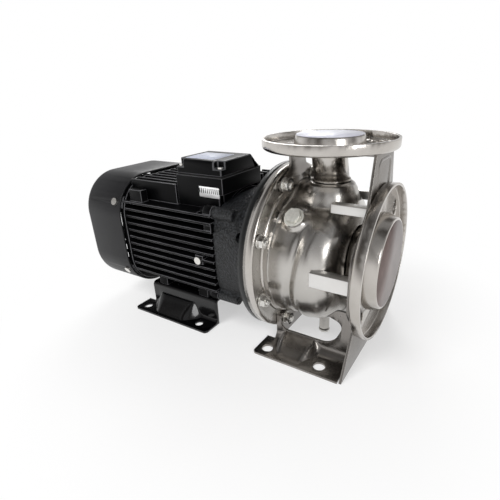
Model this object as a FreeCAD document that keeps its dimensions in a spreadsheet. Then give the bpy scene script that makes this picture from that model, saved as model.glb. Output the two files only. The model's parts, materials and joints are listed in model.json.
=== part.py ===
import FreeCAD, Part
import math
import os
import Sketcher

# A close-coupled centrifugal pump in pressed stainless steel with its finned electric motor.
# +X points out of the suction port, +Z is up, and the origin is the centre of the suction face.

doc = FreeCAD.newDocument("CentrifugalPump")
sheet = doc.addObject("Spreadsheet::Sheet", "Sizes")
finished = {}


class Length:
    """A length that carries its number in millimetres and its formula in the sheet."""

    def __init__(self, number, formula):
        self.number = number
        self.formula = formula

    def __float__(self):
        return self.number

    def __add__(self, other):
        return Length(self.number + float(other), f"({self.formula} + {formula_of(other)})")

    __radd__ = __add__

    def __sub__(self, other):
        return Length(self.number - float(other), f"({self.formula} - {formula_of(other)})")

    def __rsub__(self, other):
        return Length(float(other) - self.number, f"({formula_of(other)} - {self.formula})")

    def __mul__(self, other):
        return Length(self.number * float(other), f"({self.formula} * {formula_of(other)})")

    __rmul__ = __mul__

    def __truediv__(self, other):
        return Length(self.number / float(other), f"({self.formula} / {formula_of(other)})")

    def __neg__(self):
        return Length(-self.number, f"(-{self.formula})")


def formula_of(thing):
    """The formula of a length, or a plain number written as one."""
    return thing.formula if isinstance(thing, Length) else f"({float(thing)})"


def size(alias, number):
    """Write one driving size into the next row of the sheet."""
    row = len(sheet.getUsedCells()) // 2 + 1
    sheet.set(f"A{row}", alias.replace("_", " "))
    sheet.set(f"B{row}", str(number))
    sheet.setAlias(f"B{row}", alias)
    return Length(float(number), "Sizes." + alias)


# Ports and the pump's frame sizes
suction_to_discharge = size("suction_to_discharge", 80)
shaft_height = size("shaft_height", 112)
discharge_height = size("discharge_height", 140)
suction_flange_radius = size("suction_flange_radius", 91)
suction_rim_setback = size("suction_rim_setback", 5)
suction_rim_depth = size("suction_rim_depth", 9.5)
suction_bolt_circle = size("suction_bolt_circle", 145)
suction_collar_base = size("suction_collar_base", 57.5)
suction_collar_face = size("suction_collar_face", 53.5)
suction_pipe_radius = size("suction_pipe_radius", 38)
discharge_flange_radius = size("discharge_flange_radius", 75)
discharge_rim_setback = size("discharge_rim_setback", 3)
discharge_rim_depth = size("discharge_rim_depth", 8.5)
discharge_bolt_circle = size("discharge_bolt_circle", 110)
discharge_collar_base = size("discharge_collar_base", 40)
discharge_collar_face = size("discharge_collar_face", 38)
neck_radius = size("neck_radius", 20)
neck_wall = size("neck_wall", 2)
port_hole_radius = size("port_hole_radius", 9)
flange_corner = size("flange_corner", 4)
plate_sheet = size("plate_sheet", 3)
seat_gap = size("seat_gap", 0.2)

# Volute casing
casing_wall = size("casing_wall", 2.5)
volute_growth = size("volute_growth", 19)
volute_clearance = size("volute_clearance", 0.5)
volute_tongue = 20
volute_mouth = 345
volute_front = size("volute_front", 8)
dome_depth = size("dome_depth", 32)
casing_face_setback = size("casing_face_setback", 41)
casing_flange_radius = size("casing_flange_radius", 106)
casing_rim_depth = size("casing_rim_depth", 10.9)
casing_bolt_inset = size("casing_bolt_inset", 11)
casing_bolt_count = 8
casing_bolt_turn = 22.5
neck_weld_height = size("neck_weld_height", 88)
neck_straight_height = size("neck_straight_height", 120)
neck_lean = size("neck_lean", 9)
throat_top_radius = size("throat_top_radius", 21)
throat_shoulder_drop = size("throat_shoulder_drop", 3.5)
throat_shoulder_radius = size("throat_shoulder_radius", 28)
throat_mid_drop = size("throat_mid_drop", 11)
throat_mid_radius = size("throat_mid_radius", 33)
throat_low_drop = size("throat_low_drop", 26)
throat_low_radius = size("throat_low_radius", 35)

# Studs, nuts and washers of the casing
stud_radius = size("stud_radius", 4)
stud_hole_radius = size("stud_hole_radius", 4.5)
stud_end = size("stud_end", 2.5)
nut_flats = size("nut_flats", 13)
nut_height = size("nut_height", 6.5)
washer_radius = size("washer_radius", 8)
washer_sheet = size("washer_sheet", 1.6)

# Yoke, bracket, struts and foot of the pump end
tab_height = size("tab_height", 3)
yoke_top_half = size("yoke_top_half", 31)
yoke_neck_half = size("yoke_neck_half", 44)
yoke_neck_height = size("yoke_neck_height", 71)
yoke_disc_half = size("yoke_disc_half", 84)
yoke_waist_half = size("yoke_waist_half", 61)
yoke_waist_height = size("yoke_waist_height", 57)
yoke_floor_half = size("yoke_floor_half", 93)
yoke_tab_half = size("yoke_tab_half", 29)
yoke_tab_reach = size("yoke_tab_reach", 31)
bracket_half = size("bracket_half", 19)
bracket_margin = size("bracket_margin", 8)
bracket_tab_reach = size("bracket_tab_reach", 18)
strut_width = size("strut_width", 12)
strut_depth = size("strut_depth", 10)
strut_high_offset = size("strut_high_offset", 33)
strut_high_height = size("strut_high_height", 68)
strut_side_offset = size("strut_side_offset", 74)
strut_side_width = size("strut_side_width", 17)
foot_wall_offset = size("foot_wall_offset", 54)
foot_edge_half = size("foot_edge_half", 94.5)
foot_back_setback = size("foot_back_setback", 53)
foot_front_setback = size("foot_front_setback", 22)
foot_bend = size("foot_bend", 12)
foot_low_top = size("foot_low_top", 76)
foot_high_top = size("foot_high_top", 45)
foot_high_start = size("foot_high_start", 41)
foot_slope = size("foot_slope", 30)
foot_window_low = size("foot_window_low", 94)
foot_window_corner = size("foot_window_corner", 22)
foot_window_rise = size("foot_window_rise", 18)
foot_hole_radius = size("foot_hole_radius", 7)
foot_hole_offset = size("foot_hole_offset", 80)
foot_hole_spacing = size("foot_hole_spacing", 70)
foot_hole_setback = size("foot_hole_setback", 49.5)

# Plugs on the casing
plug_angle = 42
plug_setback = size("plug_setback", 18)
plug_boss_radius = size("plug_boss_radius", 13)
plug_boss_height = size("plug_boss_height", 5)
plug_washer_radius = size("plug_washer_radius", 11.5)
plug_head_radius = size("plug_head_radius", 7.5)
plug_head_height = size("plug_head_height", 8)
drain_radius = size("drain_radius", 7)
drain_reach = size("drain_reach", 20.5)
drain_head = size("drain_head", 3)
drain_forward = size("drain_forward", 7)
drain_offset = size("drain_offset", 12)

# Cover, gasket and seal inside the casing
gasket_sheet = size("gasket_sheet", 2)
cover_sheet = size("cover_sheet", 3)
cover_dish_depth = size("cover_dish_depth", 28)
seal_chamber_radius = size("seal_chamber_radius", 27)
seal_chamber_depth = size("seal_chamber_depth", 25)
seal_seat_radius = size("seal_seat_radius", 16)
seal_seat_height = size("seal_seat_height", 7)
seal_face_gap = size("seal_face_gap", 0.3)
seal_head_radius = size("seal_head_radius", 18)

# Impeller
impeller_clearance = size("impeller_clearance", 5.5)
impeller_sheet = size("impeller_sheet", 2)
outlet_width = size("outlet_width", 9)
shroud_slope = size("shroud_slope", 11)
eye_radius = size("eye_radius", 33)
eye_length = size("eye_length", 14)
impeller_gap = size("impeller_gap", 3)
hub_radius = size("hub_radius", 15)
hub_reach = size("hub_reach", 18)
vane_inner_radius = size("vane_inner_radius", 27)
vane_sheet = size("vane_sheet", 1.8)
vane_count = 6
vane_sweep = 95
wear_ring_gap = size("wear_ring_gap", 0.3)
wear_ring_length = size("wear_ring_length", 8)
wear_ring_mouth = size("wear_ring_mouth", 3)
impeller_nut_flats = size("impeller_nut_flats", 19)
impeller_nut_height = size("impeller_nut_height", 10)
key_width = size("key_width", 5)

# Shaft and bearings
bearing_play = size("bearing_play", 0.05)
shaft_thread_radius = size("shaft_thread_radius", 6)
shaft_hub_radius = size("shaft_hub_radius", 9)
shaft_seal_radius = size("shaft_seal_radius", 10)
shaft_front_radius = size("shaft_front_radius", 12.5)
shaft_core_radius = size("shaft_core_radius", 15)
shaft_rear_radius = size("shaft_rear_radius", 10)
shaft_tail_radius = size("shaft_tail_radius", 8)
front_bearing_radius = size("front_bearing_radius", 31)
front_bearing_width = size("front_bearing_width", 17)
rear_bearing_radius = size("rear_bearing_radius", 23.5)
rear_bearing_width = size("rear_bearing_width", 14)
inner_ring_wall = size("inner_ring_wall", 6.5)
rotor_radius = size("rotor_radius", 39.5)
air_gap = size("air_gap", 0.5)
stator_length = size("stator_length", 88)
winding_reach = size("winding_reach", 22)
winding_inner_radius = size("winding_inner_radius", 43)

# Lantern
lantern_flange_sheet = size("lantern_flange_sheet", 9.3)
lantern_wall = size("lantern_wall", 6)
lantern_stud_margin = size("lantern_stud_margin", 1.5)
lantern_web = size("lantern_web", 7)
spigot_length = size("spigot_length", 4)
hub_wall = size("hub_wall", 6)
lantern_half_width = size("lantern_half_width", 81)
lantern_half_height = size("lantern_half_height", 66)
ear_radius = size("ear_radius", 8)
ear_across = size("ear_across", 73)
ear_up = size("ear_up", 55)
ear_length = size("ear_length", 12)
boss_length = size("boss_length", 30)
tie_depth = size("tie_depth", 16)
tie_head_radius = size("tie_head_radius", 6)
tie_head_height = size("tie_head_height", 5)
vent_radius = size("vent_radius", 5)
vent_setback = size("vent_setback", 10)
vent_height = size("vent_height", 33)

# Motor
motor_front_setback = size("motor_front_setback", 112)
fan_cover_setback = size("fan_cover_setback", 266)
tail_setback = size("tail_setback", 340)
housing_gap = size("housing_gap", 4)
barrel_radius = size("barrel_radius", 70)
barrel_wall = size("barrel_wall", 5)
fin_reach = size("fin_reach", 13)
fin_sheet = size("fin_sheet", 3)
fin_pitch = size("fin_pitch", 10)
side_fin_top = size("side_fin_top", 52.5)
side_fin_count = 11
top_fin_reach = size("top_fin_reach", 10)
top_fin_half = size("top_fin_half", 62)
top_fin_pitch = size("top_fin_pitch", 12.4)
top_fin_count = 11
bottom_fin_half = size("bottom_fin_half", 43.4)
bottom_fin_count = 8
lug_half = size("lug_half", 64.5)
lug_width = size("lug_width", 20)
lug_length = size("lug_length", 16)
lug_setback = size("lug_setback", 152)
lug_reach = size("lug_reach", 4)
lug_spacing = size("lug_spacing", 76)
ground_setback = size("ground_setback", 135.5)
ground_boss = size("ground_boss", 12)
ground_screw_radius = size("ground_screw_radius", 5)
ground_screw_height = size("ground_screw_height", 3.5)
ground_screw_reach = size("ground_screw_reach", 10)
shield_sheet = size("shield_sheet", 8)
shield_proud = size("shield_proud", 2)
shield_corner = size("shield_corner", 48)
eye_lug_start = size("eye_lug_start", 229)
eye_lug_length = size("eye_lug_length", 22)
eye_lug_height = size("eye_lug_height", 16)
fin_block_length = size("fin_block_length", 11)

# Terminal box
box_overhang = size("box_overhang", 6)
box_length = size("box_length", 72)
box_near = size("box_near", 62)
box_far = size("box_far", 22)
box_rise = size("box_rise", 3)
box_skirt_height = size("box_skirt_height", 54.5)
box_depth = size("box_depth", 21)
box_wall = size("box_wall", 3)
lid_height = size("lid_height", 18)
lid_far_drop = size("lid_far_drop", 17)
lid_slope = size("lid_slope", 19)
lid_gasket_sheet = size("lid_gasket_sheet", 1)
lid_inset = size("lid_inset", 1.5)
lid_post_radius = size("lid_post_radius", 5.5)
lid_notch_length = size("lid_notch_length", 12)
lid_notch_width = size("lid_notch_width", 10)
lid_near_seat = size("lid_near_seat", 9)
lid_far_seat = size("lid_far_seat", 2)
lid_screw_radius = size("lid_screw_radius", 2)
lid_screw_head = size("lid_screw_head", 2)
lid_screw_reach = size("lid_screw_reach", 14)
gland_radius = size("gland_radius", 10)
gland_reach = size("gland_reach", 14)

# Fan cover and fan
cover_side_gap = size("cover_side_gap", 7.4)
cover_top_gap = size("cover_top_gap", 3)
cover_corner = size("cover_corner", 55)
fan_setback = size("fan_setback", 16)
cover_lug_root = size("cover_lug_root", 45)
fan_cover_wall = size("fan_cover_wall", 2.5)
cover_back_round = size("cover_back_round", 9)
grille_inner = size("grille_inner", 18)
grille_pitch = size("grille_pitch", 12)
grille_slot = size("grille_slot", 7)
grille_rings = 5
grille_ribs = 6
fan_radius = size("fan_radius", 72)
fan_hub_radius = size("fan_hub_radius", 15)
fan_width = size("fan_width", 24)
fan_sheet = size("fan_sheet", 3)
fan_blades = 8
cover_screw_lean = 25
cover_screw_radius = size("cover_screw_radius", 5)
cover_screw_head = size("cover_screw_head", 2.5)
cover_screw_reach = size("cover_screw_reach", 8)
cover_screw_setback = size("cover_screw_setback", 10)
cover_lug_width = size("cover_lug_width", 14)
cover_lug_length = size("cover_lug_length", 17)

# Motor foot
motor_foot_front = size("motor_foot_front", 129)
motor_foot_back = size("motor_foot_back", 266)
motor_web_back = size("motor_web_back", 250)
motor_foot_edge = size("motor_foot_edge", 93)
motor_foot_wall = size("motor_foot_wall", 66)
motor_foot_bend = size("motor_foot_bend", 6)
motor_hole_offset = size("motor_hole_offset", 80)
motor_hole_spacing = size("motor_hole_spacing", 100)
motor_hole_front = size("motor_hole_front", 151.5)
motor_hole_radius = size("motor_hole_radius", 5.5)
foot_screw_radius = size("foot_screw_radius", 4)
foot_screw_reach = size("foot_screw_reach", 14)
foot_screw_head = size("foot_screw_head", 5.5)
foot_screw_flats = size("foot_screw_flats", 10)

# Places worked out from the sizes, along the shaft and up from it
pump_x = -suction_to_discharge
floor_z = -shaft_height
plate_front = -(suction_rim_setback + suction_rim_depth)
plate_back = plate_front - plate_sheet
yoke_back = plate_back - plate_sheet
discharge_plate_top = discharge_height - discharge_rim_setback - discharge_rim_depth
discharge_plate_low = discharge_plate_top - plate_sheet
tab_low = discharge_plate_low - tab_height
volute_front_x = pump_x + volute_front
dome_end = volute_front_x + dome_depth
casing_face = pump_x - casing_face_setback
casing_back = casing_face - plate_sheet
rim_back = casing_face - casing_rim_depth
bracket_front = casing_face + plate_sheet
gasket_back = casing_back - gasket_sheet
cover_back = gasket_back - cover_sheet
dish_front = gasket_back + cover_dish_depth
chamber_floor = dish_front - seal_chamber_depth
impeller_back = dish_front + impeller_gap
casing_bolt_radius = casing_flange_radius - casing_bolt_inset
volute_end_radius = casing_bolt_radius - washer_radius - volute_clearance
volute_start_radius = volute_end_radius - volute_growth
impeller_radius = volute_start_radius - impeller_clearance
cover_dish_radius = impeller_radius + 1
high_stud_height = casing_bolt_radius * math.cos(math.radians(casing_bolt_turn))
high_stud_side = casing_bolt_radius * math.sin(math.radians(casing_bolt_turn))
drain_low = -(volute_end_radius + drain_reach)
outlet_front = impeller_back + impeller_sheet + outlet_width
eye_start = outlet_front + shroud_slope
eye_end = eye_start + eye_length
hub_front = impeller_back + hub_reach
lantern_back = rim_back - lantern_flange_sheet
lantern_front_radius = casing_bolt_radius - stud_radius - lantern_stud_margin
lantern_hole_radius = lantern_front_radius - 2 * lantern_wall
fin_tip = barrel_radius + fin_reach
top_fin_height = barrel_radius + top_fin_reach
bottom_fin_height = barrel_radius - 2
motor_foot_top = barrel_radius + lug_reach
box_floor_height = barrel_radius + box_rise
box_seam_height = box_floor_height + box_depth
cover_half_width = fin_tip + cover_side_gap
cover_half_height = top_fin_height + cover_top_gap
motor_front = pump_x - motor_front_setback
box_front = motor_front + box_overhang
front_bearing_back = motor_front - front_bearing_width
fan_cover_front = pump_x - fan_cover_setback
housing_back = fan_cover_front + housing_gap
tail = pump_x - tail_setback
shield_back = housing_back - shield_sheet
stator_front = (motor_front + housing_back + stator_length) / 2
stator_back = stator_front - stator_length
fan_front = shield_back - fan_setback
fan_back = fan_front - fan_width
foot_front_hole = -foot_hole_setback
foot_back_hole = foot_front_hole - foot_hole_spacing

AXES = {
    "X": FreeCAD.Rotation(FreeCAD.Vector(0, 1, 0), 90),
    "Y": FreeCAD.Rotation(FreeCAD.Vector(1, 0, 0), -90),
    "Z": FreeCAD.Rotation(),
}


def bind(thing, prop, length):
    """Tie a property to the sheet, or set it where it is a plain number."""
    if isinstance(length, Length):
        thing.setExpression(prop, length.formula)
    elif "." not in prop:
        setattr(thing, prop, float(length))
    else:
        thing.setExpression(prop, str(float(length)))


def place(thing, x, y, z, rotation=None):
    """Put an object's own origin at a place worked out from the sheet."""
    if rotation is not None:
        thing.Placement = FreeCAD.Placement(FreeCAD.Vector(), rotation)
    bind(thing, "Placement.Base.x", x)
    bind(thing, "Placement.Base.y", y)
    bind(thing, "Placement.Base.z", z)
    return thing


def draw_outline(sketch, points):
    """Draw a closed outline of (across, up) or (across, up, corner radius) points, fully tied."""
    corners = [FreeCAD.Vector(float(point[0]), float(point[1]), 0) for point in points]
    count = len(points)
    radii = [float(point[2]) if len(point) > 2 else 0.0 for point in points]
    starts = []
    ends = []
    centres = []
    for index, corner in enumerate(corners):
        before = (corners[index - 1] - corner).normalize()
        after = (corners[(index + 1) % count] - corner).normalize()
        half = before.getAngle(after) / 2
        cut = radii[index] / math.tan(half)
        starts.append(corner + before * cut)
        ends.append(corner + after * cut)
        centres.append(corner + (before + after).normalize() * (radii[index] / math.sin(half)))
    lines = []
    for index in range(count):
        lines.append(sketch.addGeometry(Part.LineSegment(ends[index], starts[(index + 1) % count])))
    for index in range(count):
        line = lines[index]
        before = lines[index - 1]
        if radii[index]:
            turn = (corners[index] - starts[index]).cross(ends[index] - corners[index]).z
            start = 1 if turn > 0 else 2
            first, last = (starts[index], ends[index]) if turn > 0 else (ends[index], starts[index])
            circle = Part.Circle(centres[index], FreeCAD.Vector(0, 0, 1), radii[index])
            span = (circle.parameter(first), circle.parameter(last))
            arc = sketch.addGeometry(Part.ArcOfCircle(circle, *span))
            corner = sketch.addGeometry(Part.Point(corners[index]), True)
            sketch.addConstraint(Sketcher.Constraint("Tangent", before, 2, arc, start))
            sketch.addConstraint(Sketcher.Constraint("Tangent", arc, 3 - start, line, 1))
            sketch.addConstraint(Sketcher.Constraint("PointOnObject", corner, 1, before))
            sketch.addConstraint(Sketcher.Constraint("PointOnObject", corner, 1, line))
            tie(sketch, Sketcher.Constraint("Radius", arc, radii[index]), f"round_{line}", points[index][2])
        else:
            corner = line
            sketch.addConstraint(Sketcher.Constraint("Coincident", before, 2, line, 1))
        across = Sketcher.Constraint("DistanceX", corner, 1, corners[index].x)
        tie(sketch, across, f"across_{line}", points[index][0])
        up = Sketcher.Constraint("DistanceY", corner, 1, corners[index].y)
        tie(sketch, up, f"up_{line}", points[index][1])


def tie(sketch, constraint, name, length):
    """Add a constraint and let the sheet drive it."""
    number = sketch.addConstraint(constraint)
    if isinstance(length, Length):
        sketch.renameConstraint(number, name)
        sketch.setExpression("Constraints." + name, length.formula)


def new_sketch(name, plane, offset, points):
    """Make a body with one sketch on an origin plane, moved along that plane's normal."""
    body = doc.addObject("PartDesign::Body", name)
    sketch = body.newObject("Sketcher::SketchObject", name + "_outline")
    support = [item for item in body.Origin.OriginFeatures if item.Role == plane][0]
    sketch.AttachmentSupport = [(support, "")]
    sketch.MapMode = "FlatFace"
    bind(sketch, "AttachmentOffset.Base.z", offset)
    draw_outline(sketch, points)
    return body, sketch


def turned(name, profile):
    """Turn an (x, radius) profile round the shaft axis."""
    body, sketch = new_sketch(name, "XZ_Plane", 0, profile)
    revolution = body.newObject("PartDesign::Revolution", name + "_turn")
    revolution.Profile = sketch
    revolution.ReferenceAxis = (sketch, ["H_Axis"])
    revolution.Angle = 360
    return body


def turned_upright(name, profile):
    """Turn a (radius, z) profile round the upright axis of the discharge port."""
    body, sketch = new_sketch(name, "XZ_Plane", 0, profile)
    revolution = body.newObject("PartDesign::Revolution", name + "_turn")
    revolution.Profile = sketch
    revolution.ReferenceAxis = (sketch, ["V_Axis"])
    revolution.Angle = 360
    bind(body, "Placement.Base.x", pump_x)
    return body


def slab(name, plane, points, low, high):
    """Pad an outline between two places along its plane's axis."""
    offset = -high if plane == "XZ_Plane" else low
    body, sketch = new_sketch(name, plane, offset, points)
    pad = body.newObject("PartDesign::Pad", name + "_pad")
    pad.Profile = sketch
    bind(pad, "Length", high - low)
    return body


def block(name, x, y, z):
    """A plain box between pairs of places."""
    box = doc.addObject("Part::Box", name)
    bind(box, "Length", x[1] - x[0])
    bind(box, "Width", y[1] - y[0])
    bind(box, "Height", z[1] - z[0])
    return place(box, x[0], y[0], z[0])


def rod(name, radius, axis, low, high, first, second):
    """A cylinder along X, Y or Z between two places; first and second are its other two."""
    cylinder = doc.addObject("Part::Cylinder", name)
    bind(cylinder, "Radius", radius)
    bind(cylinder, "Height", high - low)
    corner = {"X": (low, first, second), "Y": (first, low, second), "Z": (first, second, low)}[axis]
    return place(cylinder, *corner, rotation=AXES[axis])


def hexagon(name, flats, axis, low, high, first, second):
    """A six-sided bar along an axis, such as a nut."""
    prism = doc.addObject("Part::Prism", name)
    prism.Polygon = 6
    bind(prism, "Circumradius", flats / 2 / math.cos(math.pi / 6))
    bind(prism, "Height", high - low)
    corner = {"X": (low, first, second), "Y": (first, low, second), "Z": (first, second, low)}[axis]
    return place(prism, *corner, rotation=AXES[axis])


def fused(name, pieces):
    fuse = doc.addObject("Part::MultiFuse", name)
    fuse.Shapes = pieces
    fuse.Refine = True
    return fuse


def together(name, pieces):
    compound = doc.addObject("Part::Compound", name)
    compound.Links = pieces
    return compound


def carved(name, base, tools):
    """Cut one or more tools out of a base."""
    cut = doc.addObject("Part::Cut", name)
    cut.Base = base
    cut.Tool = tools[0] if len(tools) == 1 else together(name + "_tools", tools)
    cut.Refine = True
    return cut


def finish(name, piece):
    """Give a piece its name as a sub-part."""
    piece.Label = name
    finished[name] = piece
    return piece


def around(radius, count, start=0.0):
    """Places (y, z) evenly spaced on a circle round the shaft axis, start in degrees from +Y."""
    angles = [math.radians(start + 360.0 * index / count) for index in range(count)]
    return [(radius * math.cos(angle), radius * math.sin(angle)) for angle in angles]


def holes(name, radius, axis, low, high, places):
    """Cylinders that will cut a row or ring of holes."""
    return [rod(f"{name}_{index}", radius, axis, low, high, *spot) for index, spot in enumerate(places)]


def round_edges(body, radius, test):
    """Round the edges of a body whose every vertex passes the test."""
    doc.recompute()
    tip = body.Tip
    names = []
    for index, edge in enumerate(tip.Shape.Edges):
        if all(test(vertex.Point) for vertex in edge.Vertexes):
            names.append(f"Edge{index + 1}")
    fillet = body.newObject("PartDesign::Fillet", body.Name + "_round")
    fillet.Base = (tip, names)
    bind(fillet, "Radius", radius)
    return body


def casing_bolts():
    """Places (y, z) of the casing's studs; numbers 1 and 2 are on top, 5 and 6 below."""
    return around(casing_bolt_radius, casing_bolt_count, casing_bolt_turn)


def port_flanges():
    """The two pressed flange rings, each a dish whose rim points at the pipe it meets."""
    rim = suction_flange_radius
    pipe_hole = suction_pipe_radius + seat_gap
    dish = turned("suction_dish", [
        (-suction_rim_setback, rim),
        (plate_back, rim, flange_corner),
        (plate_back, pipe_hole),
        (plate_front, pipe_hole),
        (plate_front, rim - plate_sheet, flange_corner - plate_sheet),
        (-suction_rim_setback, rim - plate_sheet),
    ])
    ring = around(suction_bolt_circle / 2, 4, 45)
    finish("suction_flange", carved("suction_drilled", dish, holes(
        "suction_hole", port_hole_radius, "X", plate_back, plate_front, ring)))
    rim = discharge_flange_radius
    rim_top = discharge_height - discharge_rim_setback
    neck_hole = neck_radius + seat_gap
    dish = turned_upright("discharge_dish", [
        (neck_hole, discharge_plate_low),
        (rim, discharge_plate_low, flange_corner),
        (rim, rim_top),
        (rim - plate_sheet, rim_top),
        (rim - plate_sheet, discharge_plate_top, flange_corner - plate_sheet),
        (neck_hole, discharge_plate_top),
    ])
    ring = [(pump_x + across, up) for across, up in around(discharge_bolt_circle / 2, 4, 45)]
    finish("discharge_flange", carved("discharge_drilled", dish, holes(
        "discharge_hole", port_hole_radius, "Z", discharge_plate_low, discharge_plate_top, ring)))


def port_collars():
    """The lap rings that carry the sealing faces and hold the flange rings."""
    finish("suction_collar", turned("suction_lap", [
        (plate_front, suction_pipe_radius),
        (plate_front, suction_collar_base),
        (0.0, suction_collar_face, 1.5),
        (0.0, suction_pipe_radius),
    ]))
    finish("discharge_collar", turned_upright("discharge_lap", [
        (neck_radius, discharge_plate_top),
        (discharge_collar_base, discharge_plate_top),
        (discharge_collar_face, discharge_height, 1.5),
        (neck_radius, discharge_height),
    ]))


def suction_pipe():
    """The inlet pipe, from just before the impeller's eye to the suction face."""
    inner = suction_pipe_radius - casing_wall
    start = eye_end + wear_ring_mouth
    finish("suction_pipe", turned("inlet", [
        (start, inner),
        (0.0, inner),
        (0.0, suction_pipe_radius),
        (start, suction_pipe_radius),
    ]))


def volute_radius(turn, offset=0.0):
    """Outside radius of the volute at an angle in degrees from the top, the way the water turns."""
    start = float(volute_start_radius)
    end = float(volute_end_radius)
    turn = turn + 360 if turn < volute_tongue else turn
    if turn <= 180:
        radius = start + (end - start) * (turn - volute_tongue) / (180 - volute_tongue)
    elif turn <= volute_mouth:
        radius = end
    else:
        share = (turn - volute_mouth) / (360 + volute_tongue - volute_mouth)
        radius = start + (end - start) * (1 + math.cos(math.pi * share)) / 2
    return radius - offset


def volute_outline(x, offset, blend=1.0, base=0.0):
    """The volute's closed outline at one place, shrunk towards a circle as blend falls to 0."""
    points = []
    for turn in range(0, 360, 10):
        angle = math.radians(turn)
        radius = base + (volute_radius(turn, offset) - base) * blend
        points.append(FreeCAD.Vector(x, -radius * math.sin(angle), radius * math.cos(angle)))
    curve = Part.BSplineCurve()
    curve.interpolate(points, PeriodicFlag=True)
    return Part.Wire(curve.toShape())


def volute_solid(offset, back):
    """The volute as a solid: a straight spiral wall and a dome that closes to the inlet pipe."""
    front = float(volute_front_x)
    wall = Part.Face(volute_outline(back, offset)).extrude(FreeCAD.Vector(front - back, 0, 0))
    inlet = float(suction_pipe_radius)
    depth = float(dome_depth) - offset
    sections = []
    for angle in range(0, 91, 15):
        lean = math.radians(angle)
        sections.append(volute_outline(front + depth * math.sin(lean), offset, math.cos(lean), inlet))
    dome = Part.makeLoft(sections[:-1] + [Part.Wire(Part.Circle(
        FreeCAD.Vector(front + depth, 0, 0), FreeCAD.Vector(1, 0, 0), inlet).toShape())], True)
    return wall.fuse(dome)


def duct_section(height, offset_y, radius):
    """One level ring of the water way up to the neck."""
    centre = FreeCAD.Vector(float(pump_x), float(offset_y), float(height))
    return Part.Wire(Part.Circle(centre, FreeCAD.Vector(0, 0, 1), radius).toShape())


def throat_solid(offset):
    """The throat that gathers the water from the spiral and turns it up to the neck."""
    levels = [
        (neck_weld_height, throat_top_radius),
        (neck_weld_height - throat_shoulder_drop, throat_shoulder_radius),
        (neck_weld_height - throat_mid_drop, throat_mid_radius),
        (neck_weld_height - throat_low_drop, throat_low_radius),
    ]
    sections = [duct_section(height, neck_lean, float(radius) - offset) for height, radius in levels]
    return Part.makeLoft(sections, True)


def casing_shapes():
    """The pressed casing, hollow, with its flange and turned-back rim, and its outer solid."""
    wall = float(casing_wall)
    back = float(casing_back)
    outside = volute_solid(0.0, back).fuse(throat_solid(0.0))
    inside = volute_solid(wall, back).fuse(throat_solid(wall))
    face = float(casing_face)
    axis = FreeCAD.Vector(1, 0, 0)
    rim_start = FreeCAD.Vector(float(rim_back), 0, 0)
    radius = float(casing_flange_radius)
    rim = Part.makeCylinder(radius, face - float(rim_back), rim_start, axis)
    front_edges = [edge for edge in rim.Edges if edge.Closed and edge.CenterOfMass.x > face - 0.1]
    rim = rim.makeFillet(float(plate_sheet), front_edges)
    pocket = Part.makeCylinder(radius - float(plate_sheet), back - float(rim_back), rim_start, axis)
    ring = rim.cut(pocket)
    inlet_start = FreeCAD.Vector(float(volute_front_x), 0, 0)
    inlet = Part.makeCylinder(float(suction_pipe_radius), 2 * float(dome_depth), inlet_start, axis)
    shell = ring.fuse(outside).cut(inside).cut(inlet)
    bolts = []
    for y, z in casing_bolts():
        spot = FreeCAD.Vector(back - 1, float(y), float(z))
        bolts.append(Part.makeCylinder(float(stud_hole_radius), float(plate_sheet) + 2, spot, axis))
    shell = shell.cut(Part.makeCompound(bolts))
    return shell.removeSplitter(), outside


def shape_object(name, shape):
    """An object whose shape is worked out above from the sheet's sizes."""
    feature = doc.addObject("Part::Feature", name)
    feature.Shape = shape
    return feature


def around_volute(name):
    """The casing's outline with a little room round it, to cut the plates that stand beside it."""
    return shape_object(name, volute_solid(-float(volute_clearance), float(casing_back)))


def volute_casing():
    """The pressed casing with its two plug bosses; hands back its outer solid."""
    shell, outside = casing_shapes()
    spot = plug_places()
    shell = shell.fuse(spot["boss"].cut(outside))
    shell = shell.cut(spot["bore"])
    drain = drain_places()
    shell = shell.fuse(drain["boss"].cut(outside))
    shell = shell.cut(drain["bore"])
    finish("volute_casing", shape_object("casing", shell.removeSplitter()))
    return outside


def plug_places():
    """The pressed seat of the filling plug and its bore, on the near upper side."""
    angle = math.radians(plug_angle)
    out = FreeCAD.Vector(0, -math.sin(angle), math.cos(angle))
    x = float(pump_x - plug_setback)
    wall = volute_radius(plug_angle)
    start = FreeCAD.Vector(x, 0, 0) + out * (wall - 10)
    seat = wall + float(plug_boss_height)
    boss = Part.makeCone(1.5 * float(plug_boss_radius), float(plug_boss_radius), seat - wall + 10, start, out)
    bore = Part.makeCylinder(float(plug_head_radius) - 1.5, seat - wall + 12, start - out * 1, out)
    seat_place = FreeCAD.Vector(x, 0, 0) + out * seat
    return {"boss": boss, "bore": bore, "seat": seat_place, "out": out, "start": start}


def drain_places():
    """The drain's welded boss under the casing."""
    bottom = FreeCAD.Vector(float(pump_x + drain_forward), -float(drain_offset), float(drain_low))
    up = FreeCAD.Vector(0, 0, 1)
    seat = bottom + up * float(drain_head)
    length = float(drain_reach) + 4 * float(casing_wall)
    boss = Part.makeCylinder(float(drain_radius), length, seat, up)
    bore = Part.makeCylinder(float(drain_radius) - 2, length + 4, seat - up, up)
    return {"boss": boss, "bore": bore, "seat": seat, "bottom": bottom, "up": up}


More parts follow.
